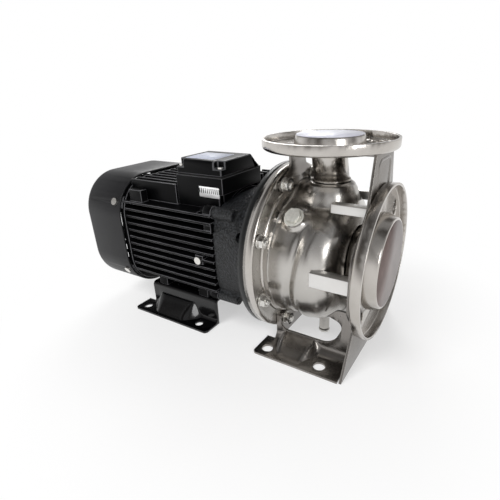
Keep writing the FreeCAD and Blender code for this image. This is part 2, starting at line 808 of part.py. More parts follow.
def plugs():
    """The filling plug with its washer, and the drain plug."""
    spot = plug_places()
    seat = spot["seat"]
    out = spot["out"]
    sheet_height = float(washer_sheet)
    washer = Part.makeCylinder(float(plug_washer_radius), sheet_height, seat, out)
    shank_radius = float(plug_head_radius) - 1.5 - float(bearing_play)
    shank = Part.makeCylinder(shank_radius, 12, seat - out * 8, out)
    finish("plug_washer", shape_object("filling_washer", washer.cut(shank)))
    head = hex_solid(float(plug_head_radius), float(plug_head_height), seat + out * sheet_height, out)
    shank = Part.makeCylinder(shank_radius, 8 + sheet_height, seat - out * 8, out)
    finish("filling_plug", shape_object("filling_plug_body", head.fuse(shank)))
    drain = drain_places()
    bottom = drain["bottom"]
    up = drain["up"]
    head = Part.makeCylinder(float(drain_radius), float(drain_head), bottom, up)
    shank_radius = float(drain_radius) - 2 - float(bearing_play)
    shank = Part.makeCylinder(shank_radius, float(drain_reach), bottom, up)
    key = hex_solid(float(drain_radius) / 2, float(drain_radius), bottom, up)
    finish("drain_plug", shape_object("drain_plug_body", head.fuse(shank).cut(key)))


def hex_solid(radius, height, base, direction):
    """A six-sided bar from a base point along a direction."""
    corners = [FreeCAD.Vector(radius * math.cos(turn * math.pi / 3), radius * math.sin(turn * math.pi / 3), 0)
               for turn in range(7)]
    bar = Part.Face(Part.makePolygon(corners)).extrude(FreeCAD.Vector(0, 0, height))
    bar.Placement = FreeCAD.Placement(base, FreeCAD.Rotation(FreeCAD.Vector(0, 0, 1), direction))
    return bar


def discharge_neck():
    """The pipe that leans from the throat to the middle of the discharge flange."""
    def pipe(offset):
        radius = float(neck_radius) - offset
        low = duct_section(neck_weld_height, neck_lean, float(throat_top_radius) - offset)
        top = duct_section(neck_straight_height, 0.0, radius)
        lean = Part.makeLoft([low, top], True, True)
        base = FreeCAD.Vector(float(pump_x), 0, float(neck_straight_height))
        straight = Part.makeCylinder(radius, float(discharge_height) - base.z, base)
        return lean.fuse(straight)
    bore = pipe(float(neck_wall))
    finish("discharge_neck", shape_object("neck", pipe(0.0).cut(bore).removeSplitter()))


def mirrored(points):
    """Close a half outline of (across, up) points by its mirror image."""
    other = [(-point[0],) + tuple(point[1:]) for point in reversed(points)]
    return points + other


def front_yoke():
    """The front plate behind the suction flange, from the floor to a tab under the discharge flange."""
    outline = mirrored([
        (yoke_floor_half, floor_z),
        (yoke_waist_half, -yoke_waist_height, 10.0),
        (yoke_disc_half, -yoke_waist_height / 2, 20.0),
        (yoke_disc_half, yoke_waist_height / 2, 30.0),
        (yoke_neck_half, yoke_neck_height, 12.0),
        (yoke_top_half, discharge_plate_low),
    ])
    plate = slab("yoke_plate", "YZ_Plane", outline, yoke_back, plate_back)
    tab = block("yoke_tab", (yoke_back - yoke_tab_reach + plate_sheet, plate_back),
                (-yoke_tab_half, yoke_tab_half), (tab_low, discharge_plate_low))
    pipe = rod("yoke_pipe_hole", suction_pipe_radius, "X", yoke_back, plate_back, 0.0, 0.0)
    places = around(suction_bolt_circle / 2, 4, 45)
    ring = holes("yoke_hole", port_hole_radius, "X", yoke_back, plate_back, places)
    finish("front_yoke", carved("yoke_cut", fused("yoke_blank", [plate, tab]), [pipe] + ring))


def rear_bracket():
    """The rear plate from the casing's two top studs to a tab under the discharge flange."""
    outline = mirrored([
        (high_stud_side + bracket_margin, high_stud_height - bracket_margin, 6.0),
        (high_stud_side + bracket_margin, high_stud_height + bracket_margin / 2, 8.0),
        (bracket_half, high_stud_height + 2 * bracket_margin, 8.0),
        (bracket_half, discharge_plate_low),
    ])
    plate = slab("bracket_plate", "YZ_Plane", outline, casing_face, bracket_front)
    tab = block("bracket_tab", (casing_face, casing_face + bracket_tab_reach),
                (-bracket_half, bracket_half), (tab_low, discharge_plate_low))
    ring = casing_bolts()
    cuts = holes("bracket_hole", stud_hole_radius, "X", casing_face, bracket_front, [ring[1], ring[2]])
    cuts.append(around_volute("bracket_room"))
    finish("rear_bracket", carved("bracket_cut", fused("bracket_blank", [plate, tab]), cuts))


def flange_struts(outside):
    """The bars between the casing's dome and the yoke."""
    bars = []
    half = strut_width / 2
    for name, side in (("far", 1), ("near", -1)):
        middle = side * strut_high_offset
        bars.append(block("strut_high_" + name, (pump_x + 20.0, yoke_back), (middle - half, middle + half),
                          (strut_high_height - strut_depth / 2, strut_high_height + strut_depth / 2)))
        middle = side * strut_side_offset
        bars.append(block("strut_side_" + name, (pump_x + 15.0, yoke_back), (middle - half, middle + half),
                          (-strut_side_width / 2, strut_side_width / 2)))
    bars.append(block("strut_low", (pump_x + 15.0, yoke_back), (-half, half),
                      (-strut_high_height - strut_depth, -strut_high_height)))
    dome = shape_object("dome", outside)
    finish("flange_struts", carved("struts_cut", together("strut_bars", bars), [dome]))


def pump_foot():
    """The pressed foot: two folded side walls with oval windows and a rear web on the low studs."""
    back = pump_x - foot_back_setback
    front = -foot_front_setback
    web_front = bracket_front
    sheet_top = floor_z + plate_sheet
    walls = []
    for name, side in (("far", 1), ("near", -1)):
        inner = side * (foot_wall_offset - plate_sheet)
        outer = side * foot_wall_offset
        edge = side * foot_edge_half
        walls.append(slab("foot_fold_" + name, "YZ_Plane", [
            (inner, -foot_high_top),
            (outer, -foot_high_top),
            (outer, sheet_top, foot_bend),
            (edge, sheet_top),
            (edge, floor_z),
            (inner, floor_z, foot_bend + plate_sheet),
        ], back, front))
    folds = fused("foot_folds", walls)
    high_edge = -foot_high_start
    wide = foot_edge_half + 5
    above = slab("foot_above", "XZ_Plane", [
        (back - 5, -foot_low_top),
        (high_edge - foot_slope, -foot_low_top, 10.0),
        (high_edge, -foot_high_top, 10.0),
        (front + 5, -foot_high_top),
        (front + 5, 0.0),
        (back - 5, 0.0),
    ], -wide, wide)
    behind = block("foot_behind", (back - 5, casing_face), (-wide, wide), (sheet_top, 0.0))
    window = slab("foot_window", "XZ_Plane", [
        (bracket_front + 3, -foot_low_top + 5),
        (bracket_front + 3, -foot_window_low, 10.0),
        (high_edge - 4, -foot_window_low, foot_window_corner),
        (high_edge + 9.5, -foot_high_top - foot_window_rise, 9.0),
        (high_edge - 10, -foot_high_top - 11, 4.0),
        (high_edge - foot_slope - 2, -foot_low_top + 3, 4.0),
        (high_edge - foot_slope - 4, -foot_low_top + 5),
    ], -foot_wall_offset - 1, foot_wall_offset + 1)
    spots = []
    for side in (1, -1):
        spots.append((foot_front_hole, side * foot_hole_offset))
        spots.append((foot_back_hole, side * foot_hole_offset))
    drilled = carved("foot_cut", folds, [above, behind, window] + holes(
        "foot_hole", foot_hole_radius, "Z", floor_z, sheet_top, spots))
    inner = foot_wall_offset - plate_sheet
    levels = (sheet_top + foot_bend, -foot_high_top)
    front_wall = block("foot_wall_reach", (front, yoke_back), (-foot_wall_offset, foot_wall_offset), levels)
    inside = block("foot_wall_space", (front, yoke_back), (-inner, inner), levels)
    web = slab("foot_web", "YZ_Plane", mirrored([
        (inner, floor_z),
        (inner, bracket_margin / 4 - high_stud_height, 10.0),
        (high_stud_side + bracket_margin / 2, bracket_margin - high_stud_height, 6.0),
    ]), casing_face, web_front)
    ring = casing_bolts()
    web_cut = carved("foot_web_cut", web, holes(
        "foot_web_hole", stud_hole_radius, "X", casing_face, web_front, [ring[5], ring[6]]))
    reach = carved("foot_reach", front_wall, [inside])
    whole = fused("foot_whole", [drilled, reach, web_cut])
    finish("pump_foot", carved("foot_trimmed", whole, [around_volute("foot_room")]))


def casing_fasteners():
    """Eight studs with nuts and washers round the casing flange; four also hold the plates."""
    ring = casing_bolts()
    studs = []
    nuts = []
    washers = []
    for index, (y, z) in enumerate(ring):
        seat = bracket_front if index in (1, 2, 5, 6) else casing_face
        nut_seat = seat + washer_sheet
        top = nut_seat + nut_height
        studs.append(rod(f"stud_{index}", stud_radius, "X", lantern_back, top + stud_end, y, z))
        nut = hexagon(f"nut_{index}", nut_flats, "X", nut_seat, top, y, z)
        bore = rod(f"nut_bore_{index}", stud_radius, "X", nut_seat, top, y, z)
        nuts.append(carved(f"nut_cut_{index}", nut, [bore]))
        washer = rod(f"washer_{index}", washer_radius, "X", seat, nut_seat, y, z)
        washers.append(carved(f"washer_cut_{index}", washer, [
            rod(f"washer_bore_{index}", stud_radius, "X", seat, nut_seat, y, z)]))
    finish("casing_studs", together("studs", studs))
    finish("casing_nuts", together("nuts", nuts))
    finish("casing_washers", together("washers", washers))


def cover_and_gasket():
    """The dished casing cover with its seal chamber, clamped in the casing's rim over a gasket."""
    rim = casing_flange_radius - plate_sheet - 0.3
    dish = cover_dish_radius
    ring = casing_bolts()
    cover = turned("cover_dish", [
        (cover_back, rim),
        (gasket_back, rim),
        (gasket_back, dish, 3.0),
        (dish_front, dish, 5.0),
        (dish_front, seal_chamber_radius),
        (chamber_floor, seal_chamber_radius),
        (chamber_floor, seal_seat_radius),
        (chamber_floor - cover_sheet, seal_seat_radius),
        (chamber_floor - cover_sheet, seal_chamber_radius + cover_sheet),
        (dish_front - cover_sheet, seal_chamber_radius + cover_sheet),
        (dish_front - cover_sheet, dish - cover_sheet, 2.0),
        (cover_back, dish - cover_sheet, 6.0),
    ])
    finish("casing_cover", carved("cover_drilled", cover, holes(
        "cover_hole", stud_hole_radius, "X", cover_back, gasket_back, ring)))
    gasket = turned("gasket_ring", [
        (gasket_back, rim),
        (casing_back, rim),
        (casing_back, volute_end_radius),
        (gasket_back, volute_end_radius),
    ])
    finish("casing_gasket", carved("gasket_drilled", gasket, holes(
        "gasket_hole", stud_hole_radius, "X", gasket_back, casing_back, ring)))


def seal():
    """The mechanical seal: a seat in the cover and a head that turns with the shaft."""
    seat_front = chamber_floor + seal_seat_height / 2
    bore = shaft_seal_radius + 0.5
    finish("seal_seat", turned("seat_ring", [
        (chamber_floor - cover_sheet, bore),
        (seat_front, bore),
        (seat_front, seal_seat_radius + 3),
        (chamber_floor, seal_seat_radius + 3),
        (chamber_floor, seal_seat_radius),
        (chamber_floor - cover_sheet, seal_seat_radius),
    ]))
    head_back = seat_front + seal_face_gap
    finish("seal_head", turned("seal_bellows", [
        (head_back, shaft_seal_radius),
        (impeller_back, shaft_seal_radius),
        (impeller_back, seal_head_radius),
        (head_back + 8, seal_head_radius),
        (head_back + 8, seal_head_radius - 3),
        (head_back, seal_head_radius - 3),
    ]))


def vane_solid(turn):
    """One back-swept vane, a strip along a spiral from the eye to the impeller's edge."""
    inner = float(vane_inner_radius)
    outer = float(impeller_radius)
    sides = []
    for side in (-0.5, 0.5):
        points = []
        for step in range(7):
            share = step / 6
            radius = inner + (outer - inner) * share
            angle = math.radians(turn + vane_sweep * share ** 0.8) + side * float(vane_sheet) / radius
            points.append(FreeCAD.Vector(0, radius * math.cos(angle), radius * math.sin(angle)))
        curve = Part.BSplineCurve()
        curve.interpolate(points)
        sides.append(curve)
    first, second = sides
    outline = Part.Wire([
        first.toShape(),
        Part.makeLine(first.EndPoint, second.EndPoint),
        second.toShape(),
        Part.makeLine(second.StartPoint, first.StartPoint),
    ])
    strip = Part.Face(outline).extrude(FreeCAD.Vector(float(eye_end - impeller_back), 0, 0))
    strip.translate(FreeCAD.Vector(float(impeller_back), 0, 0))
    return strip


def impeller():
    """The closed impeller: back shroud with hub, curved front shroud with the eye, and the vanes."""
    back = turned("back_shroud", [
        (impeller_back, shaft_hub_radius),
        (hub_front, shaft_hub_radius),
        (hub_front, hub_radius, 3.0),
        (impeller_back + impeller_sheet, hub_radius, 6.0),
        (impeller_back + impeller_sheet, impeller_radius),
        (impeller_back, impeller_radius),
    ])
    inner_eye = eye_radius - impeller_sheet
    front = turned("front_shroud", [
        (outlet_front, impeller_radius),
        (eye_start, inner_eye, 8.0),
        (eye_end, inner_eye),
        (eye_end, eye_radius),
        (eye_start + 1, eye_radius, 6.0),
        (outlet_front + impeller_sheet, impeller_radius),
    ])
    doc.recompute()
    passage = Part.Face(Part.makePolygon([
        FreeCAD.Vector(float(impeller_back + impeller_sheet / 2), 0, float(vane_inner_radius) - 2),
        FreeCAD.Vector(float(impeller_back + impeller_sheet / 2), 0, float(impeller_radius) + 1),
        FreeCAD.Vector(float(outlet_front + impeller_sheet / 2), 0, float(impeller_radius) + 1),
        FreeCAD.Vector(float(outlet_front + impeller_sheet / 2), 0, float(impeller_radius)),
        FreeCAD.Vector(float(eye_start + impeller_sheet / 2), 0, float(eye_radius) - 1),
        FreeCAD.Vector(float(eye_start + impeller_sheet / 2), 0, float(vane_inner_radius) - 2),
        FreeCAD.Vector(float(impeller_back + impeller_sheet / 2), 0, float(vane_inner_radius) - 2),
    ])).revolve(FreeCAD.Vector(), FreeCAD.Vector(1, 0, 0), 360)
    vanes = []
    for index in range(vane_count):
        strip = vane_solid(360.0 * index / vane_count)
        vanes.append(shape_object(f"vane_{index}", strip.common(passage)))
    whole = fused("impeller_blank", [back, front] + vanes)
    keyway = block("hub_keyway", (impeller_back, hub_front), (-key_width / 2, key_width / 2),
                   (shaft_hub_radius - 2, shaft_hub_radius + 2))
    finish("impeller", carved("impeller_keyed", whole, [keyway]))
    finish("impeller_key", block("key_bar", (impeller_back, hub_front), (-key_width / 2, key_width / 2),
                                 (shaft_hub_radius - 2, shaft_hub_radius + 2)))
    nut_end = hub_front + impeller_nut_height
    nut = hexagon("shaft_nut", impeller_nut_flats, "X", hub_front, nut_end, 0.0, 0.0)
    finish("impeller_nut", carved("shaft_nut_cut", nut, [
        rod("shaft_nut_bore", shaft_thread_radius, "X", hub_front, nut_end, 0.0, 0.0)]))


def wear_ring():
    """The ring on the inlet pipe's end that the impeller's eye runs in."""
    bore = eye_radius + wear_ring_gap
    pipe_end = eye_end + wear_ring_mouth
    mouth = suction_pipe_radius - casing_wall / 2
    finish("wear_ring", turned("eye_ring", [
        (eye_end - wear_ring_length, bore),
        (eye_end, bore),
        (eye_end, mouth),
        (pipe_end, mouth),
        (pipe_end, suction_pipe_radius),
        (eye_end - wear_ring_length, suction_pipe_radius),
    ]))


def shaft():
    """The motor shaft, stepped for impeller, seal, bearings, rotor core and fan."""
    bearing_front = motor_front
    nut_end = hub_front + impeller_nut_height
    rear_front = housing_back - 4 + rear_bearing_width
    rear_back = housing_back - 4
    blank = turned("shaft_blank", [
        (fan_back - 6, 0.0),
        (nut_end + 3, 0.0),
        (nut_end + 3, shaft_thread_radius),
        (hub_front, shaft_thread_radius),
        (hub_front, shaft_hub_radius),
        (impeller_back, shaft_hub_radius),
        (impeller_back, shaft_seal_radius),
        (bearing_front + 20, shaft_seal_radius),
        (bearing_front + 20, shaft_front_radius - 0.5),
        (bearing_front, shaft_front_radius - 0.5),
        (bearing_front, shaft_front_radius),
        (front_bearing_back, shaft_front_radius),
        (front_bearing_back, shaft_core_radius),
        (rear_front, shaft_core_radius),
        (rear_front, shaft_rear_radius),
        (rear_back, shaft_rear_radius),
        (rear_back, shaft_tail_radius),
        (fan_back - 6, shaft_tail_radius),
    ])
    keyway = block("shaft_keyway", (impeller_back, hub_front), (-key_width / 2, key_width / 2),
                   (shaft_hub_radius - 2, shaft_hub_radius + 2))
    finish("shaft", carved("shaft_keyed", blank, [keyway]))


def ring_profile(front, back, inner, outer):
    """The four corners of a plain ring's section."""
    return [(back, inner), (front, inner), (front, outer), (back, outer)]


def bearings():
    """Two shielded ball bearings, each an outer ring that stays and an inner ring that turns."""
    rear_front = housing_back - 4 + rear_bearing_width
    rear_back = housing_back - 4
    front_inner = shaft_front_radius + inner_ring_wall
    rear_inner = shaft_rear_radius + inner_ring_wall
    outer = [
        turned("front_outer_ring", ring_profile(
            motor_front, front_bearing_back, front_inner + bearing_play, front_bearing_radius)),
        turned("rear_outer_ring", ring_profile(
            rear_front, rear_back, rear_inner + bearing_play, rear_bearing_radius)),
    ]
    inner = [
        turned("front_inner_ring", ring_profile(
            motor_front, front_bearing_back, shaft_front_radius, front_inner)),
        turned("rear_inner_ring", ring_profile(rear_front, rear_back, shaft_rear_radius, rear_inner)),
    ]
    finish("bearing_outer_rings", together("outer_rings", outer))
    finish("bearing_inner_rings", together("inner_rings", inner))


def rotor_and_stator():
    """The squirrel-cage core on the shaft and the wound stator round it."""
    finish("rotor_core", turned("cage_core", ring_profile(
        stator_front, stator_back, shaft_core_radius, rotor_radius)))
    bore = rotor_radius + air_gap
    finish("stator_core", turned("lamination_stack", ring_profile(
        stator_front, stator_back, bore, barrel_radius - barrel_wall)))
    outer = barrel_radius - barrel_wall - 4
    ends = [
        turned("front_winding", ring_profile(
            stator_front + winding_reach, stator_front, winding_inner_radius, outer)),
        turned("rear_winding", ring_profile(
            stator_back, stator_back - winding_reach, winding_inner_radius, outer)),
    ]
    finish("stator_windings", together("winding_ends", ends))


def ear_places():
    """The four corners where lantern and motor are tied together."""
    return [(side * ear_across, up * ear_up) for side in (1, -1) for up in (1, -1)]


def bell_outline(x, share, inset):
    """The lantern's outline at one place: a rounded square at the motor, a circle at the pump."""
    wide = float(lantern_half_width)
    tall = float(lantern_half_height)
    points = []
    for step in range(32):
        angle = 2 * math.pi * step / 32
        square = (abs(math.cos(angle) / wide) ** 4 + abs(math.sin(angle) / tall) ** 4) ** -0.25
        radius = square + (float(lantern_front_radius) - square) * share - inset
        points.append(FreeCAD.Vector(x, radius * math.cos(angle), radius * math.sin(angle)))
    curve = Part.BSplineCurve()
    curve.interpolate(points, PeriodicFlag=True)
    return Part.Wire(curve.toShape())


def bell_solid(start, inset):
    """The lantern's flaring body from one place up to its flange, shrunk by an inset."""
    back = float(motor_front)
    front = float(lantern_back)
    share = (start - back) / (front - back)
    narrow = bell_outline(start, share, inset)
    return Part.makeLoft([narrow, bell_outline(front, 1.0, 2 * inset)], True, True)


def lantern():
    """The cast lantern between pump and motor: flange, flaring bell, bearing hub and ear bosses."""
    flange = casing_flange_radius
    spigot = casing_flange_radius - plate_sheet - 0.3
    web_front = motor_front + lantern_web
    housing_bore = barrel_radius - barrel_wall
    hub = front_bearing_radius + hub_wall
    ring = turned("lantern_flange", [
        (cover_back, spigot),
        (rim_back, spigot),
        (rim_back, flange),
        (lantern_back, flange, 2.0),
        (lantern_back, lantern_hole_radius),
        (cover_back, lantern_hole_radius),
    ])
    centre = turned("lantern_hub", [
        (motor_front + 1, housing_bore),
        (motor_front - spigot_length, housing_bore),
        (motor_front - spigot_length, hub),
        (front_bearing_back, hub),
        (front_bearing_back, front_bearing_radius),
        (motor_front + 1, front_bearing_radius),
    ])
    bell = shape_object("lantern_bell", bell_solid(float(motor_front), 0.0))
    bosses = [rod(f"lantern_boss_{index}", ear_radius, "X", motor_front, motor_front + boss_length, y, z)
              for index, (y, z) in enumerate(ear_places())]
    cavity = shape_object("lantern_cavity", bell_solid(float(web_front), float(lantern_wall)))
    vents = []
    vent_x = lantern_back - vent_setback
    for name, side in (("far", 1), ("near", -1)):
        low, high = sorted((side * lantern_front_radius, side * (cover_dish_radius - 10)), key=float)
        vents.append(rod("vent_" + name, vent_radius, "Y", low, high, vent_x, vent_height))
    tapped = holes("boss_hole", stud_radius, "X", motor_front, motor_front + tie_depth, ear_places())
    stud_holes = holes("lantern_stud_hole", stud_radius, "X", lantern_back, cover_back, casing_bolts())
    seat = rod("lantern_seat", front_bearing_radius, "X", front_bearing_back, motor_front, 0.0, 0.0)
    shaft_hole = rod("lantern_shaft_hole", shaft_front_radius + 1, "X", motor_front, web_front, 0.0, 0.0)
    cuts = [cavity, seat, shaft_hole] + vents + tapped + stud_holes
    finish("lantern", carved("lantern_cut", fused("lantern_blank", [ring, centre, bell] + bosses), cuts))


def tie_screws():
    """The four screws through the housing's ears into the lantern's bosses."""
    screws = []
    seat = motor_front - ear_length
    for index, (y, z) in enumerate(ear_places()):
        shank = rod(f"tie_shank_{index}", stud_radius, "X", seat, motor_front + tie_depth, y, z)
        head = hexagon(f"tie_head_{index}", 2 * tie_head_radius, "X", seat - tie_head_height, seat, y, z)
        screws.append(fused(f"tie_screw_{index}", [shank, head]))
    finish("tie_screws", together("tie_set", screws))


def lug_places():
    """The four lugs (x, y) under the motor that the foot is bolted to."""
    across = lug_half - lug_width / 2
    front = pump_x - lug_setback
    return [(x, side * across) for x in (front, front - lug_spacing) for side in (1, -1)]


def ground_place():
    """The earthing screw's place (x, z) on the near side, level with one of the fins."""
    return pump_x - ground_setback, side_fin_top - 6 * fin_pitch


def motor_housing():
    """The cast aluminium barrel with level fins at its sides and upright ones on top and below."""
    front = motor_front
    back = housing_back
    half = fin_sheet / 2
    bodies = [rod("barrel", barrel_radius, "X", back, front, 0.0, 0.0)]
    for index in range(side_fin_count):
        middle = side_fin_top - fin_pitch * index
        levels = (middle - half, middle + half)
        bodies.append(block(f"side_fin_{index}", (back, front), (-fin_tip, fin_tip), levels))
    box_back = box_front - box_length
    for index in range(top_fin_count):
        across = top_fin_pitch * index - top_fin_half
        beside_box = float(across) > float(box_far)
        end = front if beside_box else box_back - 2
        bodies.append(block(f"top_fin_{index}", (back, end), (across - half, across + half),
                            (side_fin_top, top_fin_height)))
    for index in range(bottom_fin_count):
        across = top_fin_pitch * index - bottom_fin_half
        bodies.append(block(f"bottom_fin_{index}", (back, front), (across - half, across + half),
                            (-bottom_fin_height, -side_fin_top)))
    pad_front = front - 4
    bodies.append(block("box_pad", (box_back + 6, pad_front), (-box_near + 14, box_far - 8),
                        (side_fin_top, box_floor_height)))
    half_lug = lug_width / 2
    for index, (x, y) in enumerate(lug_places()):
        along = (x - lug_length / 2, x + lug_length / 2)
        bodies.append(block(f"lug_{index}", along, (y - half_lug, y + half_lug),
                            (-motor_foot_top, -side_fin_top + fin_pitch)))
    for index, (y, z) in enumerate(ear_places()):
        bodies.append(rod(f"housing_ear_{index}", ear_radius, "X", front - ear_length, front, y, z))
    eye_start = pump_x - eye_lug_start
    ledge = side_fin_top + half
    near_eye = (-fin_tip + 4, -barrel_radius + 2)
    far_eye = (barrel_radius - 2, fin_tip - 4)
    for name, (low, high) in (("near", near_eye), ("far", far_eye)):
        bodies.append(block("eye_lug_" + name, (eye_start - eye_lug_length, eye_start), (low, high),
                            (side_fin_top, ledge + eye_lug_height)))
    fin_below = side_fin_top - 2 * fin_pitch
    for name, low, high in (("near", -fin_tip + 0.5, -barrel_radius), ("far", barrel_radius, fin_tip - 0.5)):
        bodies.append(block("fin_block_" + name, (front - fin_block_length, front), (low, high),
                            (fin_below, fin_below + fin_pitch)))
    x_ground, z_ground = ground_place()
    half_boss = ground_boss / 2
    bodies.append(block("ground_boss", (x_ground - half_boss, x_ground + half_boss),
                        (-fin_tip, -barrel_radius + 4), (z_ground - half_boss, z_ground + half_boss)))
    bore = rod("housing_bore", barrel_radius - barrel_wall, "X", back, front, 0.0, 0.0)
    ear_back = front - ear_length
    pocket_back = ear_back - 2 * tie_head_height
    cuts = [bore]
    cuts += holes("housing_ear_hole", stud_radius, "X", ear_back, front, ear_places())
    cuts += holes("housing_pocket", ear_radius, "X", pocket_back, ear_back, ear_places())
    lug_low = -motor_foot_top
    cuts += holes("lug_tapped", foot_screw_radius, "Z", lug_low, lug_low + foot_screw_reach, lug_places())
    cuts.append(rod("ground_tapped", ground_screw_radius / 2, "Y", -fin_tip, ground_screw_reach - fin_tip,
                    x_ground, z_ground))
    x, z = gland_place()
    wide = gland_radius + 3
    cuts.append(block("gland_relief", (x - wide, x + wide), (box_far, fin_tip),
                      (z - gland_radius - 2, top_fin_height + 1)))
    finish("motor_housing", carved("housing_bored", fused("housing_blank", bodies), cuts))


def rear_end_shield():
    """The rear end shield with the rear bearing's seat and the lugs that hold the fan cover."""
    seat_front = housing_back - 4 + rear_bearing_width
    seat_back = housing_back - 4
    hub = rear_bearing_radius + hub_wall
    bore = barrel_radius - barrel_wall
    disc = turned("shield_disc", [
        (shield_back, shaft_tail_radius + 1),
        (seat_back, shaft_tail_radius + 1),
        (seat_back, rear_bearing_radius),
        (seat_front, rear_bearing_radius),
        (seat_front, hub),
        (housing_back + spigot_length, hub),
        (housing_back + spigot_length, bore),
        (shield_back, bore),
    ])
    wide = fin_tip + shield_proud
    tall = cover_half_height - fan_cover_wall - shield_proud
    plate = slab("shield_plate", "YZ_Plane", [
        (wide, tall, shield_corner),
        (-wide, tall, shield_corner),
        (-wide, -tall, shield_corner),
        (wide, -tall, shield_corner),
    ], shield_back, housing_back)
    plate_hole = rod("shield_plate_hole", bore - 1, "X", shield_back, housing_back, 0.0, 0.0)
    border = carved("shield_border", plate, [plate_hole])
    lug_high = fan_cover_front
    lug_low = fan_cover_front - cover_lug_length
    half = cover_lug_width / 2
    lean = math.radians(cover_screw_lean)
    middle = cover_half_height - cover_corner + (cover_corner - fan_cover_wall) * math.sin(lean)
    lugs = []
    for index, (side, up) in enumerate(cover_screw_signs()):
        edges = sorted((side * cover_half_width, side * cover_lug_root), key=float)
        levels = (up * middle - half, up * middle + half)
        lugs.append(block(f"cover_lug_{index}", (lug_low, lug_high), edges, levels))
    inset = fan_cover_wall + seat_gap
    room = slab("cover_lug_room", "YZ_Plane", mirrored([
        (cover_half_width - inset, inset - cover_half_height, cover_corner - inset),
        (cover_half_width - inset, cover_half_height - inset, cover_corner - inset),
    ]), lug_low, lug_high)
    trimmed = doc.addObject("Part::Common", "cover_lugs_trimmed")
    trimmed.Base = room
    trimmed.Tool = together("cover_lugs", lugs)
    bores = cover_screw_rods("lug_bore", cover_screw_radius / 2, cover_screw_start(), cover_corner)
    finish("rear_end_shield", carved("shield_cut", fused("shield_blank", [disc, border, trimmed]), bores))


def gland_place():
    """The cable gland's place (x, z) on the far side of the terminal box."""
    x = box_front - box_length / 2
    return x, (box_floor_height + box_seam_height) / 2 + 0.5


def terminal_box():
    """The terminal box on its pad, its gasket, its lid with the sloping far side, and its screws."""
    front = box_front
    back = front - box_length
    wall = box_wall
    seam = box_seam_height - lid_gasket_sheet
    shell = block("box_shell", (back, front), (-box_near, box_far), (box_floor_height, seam))
    skirt = block("box_skirt", (back, motor_front), (-box_near, -box_near + wall), (box_skirt_height, seam))
    rear_skirt = block("box_rear_skirt", (back, back + wall), (-box_near, box_far), (box_skirt_height, seam))
    space = block("box_space", (back + wall, front - wall), (-box_near + wall, box_far - wall),
                  (box_floor_height + wall, seam))
    barrel = rod("box_barrel", barrel_radius, "X", back - 1, front, 0.0, 0.0)
    gland_x, gland_z = gland_place()
    gland_hole = rod("box_gland_hole", gland_radius - 2, "Y", box_far - wall, box_far, gland_x, gland_z)
    hollow = carved("box_hollow", fused("box_blank", [shell, skirt, rear_skirt]), [space, barrel, gland_hole])
    spots = lid_screw_places()
    posts = holes("box_post", lid_post_radius, "Z", box_floor_height, seam, spots)
    bores = holes("box_bore", lid_screw_radius, "Z", box_seam_height - lid_screw_reach, seam, spots)
    finish("terminal_box", carved("box_cut", fused("box_with_posts", [hollow] + posts), bores))
    rim = block("box_rim", (back, front), (-box_near, box_far), (seam, box_seam_height))
    rim_space = block("box_rim_space", (back + wall, front - wall), (-box_near + wall, box_far - wall),
                      (seam, box_seam_height))
    rim_bores = holes("rim_bore", lid_screw_radius, "Z", seam, box_seam_height, spots)
    finish("lid_gasket", carved("lid_gasket_cut", rim, [rim_space] + rim_bores))
    finish("terminal_box_lid", terminal_lid(front, back))
    block_end = box_length / 4
    finish("terminal_block", block("terminal_bar", (gland_x - block_end, gland_x + block_end),
                                   (block_end - box_near, 3 * block_end - box_near),
                                   (box_floor_height + wall, box_floor_height + 5 * wall)))
    gland = [
        rod("gland_nut", gland_radius, "Y", box_far, box_far + gland_reach, gland_x, gland_z),
        rod("gland_neck", gland_radius - 2, "Y", box_far - wall, box_far, gland_x, gland_z),
    ]
    hole = rod("gland_hole", gland_radius / 2, "Y", box_far - wall, box_far + gland_reach, gland_x, gland_z)
    finish("cable_gland", carved("gland_cut", fused("gland_blank", gland), [hole]))


def terminal_lid(front, back):
    """The lid with its sloping far side, hollow, with an open notch for a screw at each corner."""
    wall = box_wall
    near = -box_near
    lid_top = box_seam_height + lid_height
    low_top = lid_top - lid_far_drop
    lid = slab("lid_block", "YZ_Plane", [
        (near + lid_inset, box_seam_height),
        (box_far - lid_inset, box_seam_height),
        (box_far - lid_inset, low_top, 1.0),
        (box_far - lid_slope, lid_top, 4.0),
        (near + lid_inset, lid_top, 4.0),
    ], back + lid_inset, front - lid_inset)
    space = slab("lid_space", "YZ_Plane", [
        (near + wall + 1, box_seam_height),
        (box_far - wall - 1, box_seam_height),
        (box_far - lid_slope - wall, lid_top - wall, 2.0),
        (near + wall + 1, lid_top - wall, 1.0),
    ], back + wall + 1, front - wall - 1)
    ends = (("front", front - lid_notch_length, front), ("back", back, back + lid_notch_length))
    sides = (("near", near, near + lid_notch_width, lid_near_seat),
             ("far", box_far - lid_notch_width, box_far, lid_far_seat))
    kept = []
    notches = []
    for end_name, low_x, high_x in ends:
        for side_name, low_y, high_y, seat in sides:
            name = f"{end_name}_{side_name}"
            kept.append(block("lid_post_" + name, (low_x - wall, high_x + wall),
                              (low_y - wall, high_y + wall), (box_seam_height, lid_top)))
            notches.append(block("lid_notch_" + name, (low_x, high_x), (low_y, high_y),
                                 (box_seam_height + seat, lid_top + 1)))
    posts = doc.addObject("Part::Common", "lid_posts")
    posts.Base = lid
    posts.Tool = fused("lid_post_blocks", kept)
    bores = []
    for index, (x, y) in enumerate(lid_screw_places()):
        bores.append(rod(f"lid_bore_{index}", lid_screw_radius, "Z", box_seam_height, lid_top, x, y))
    hollow = carved("lid_hollow", lid, [space])
    return carved("lid_cut", fused("lid_with_posts", [hollow, posts]), notches + bores)


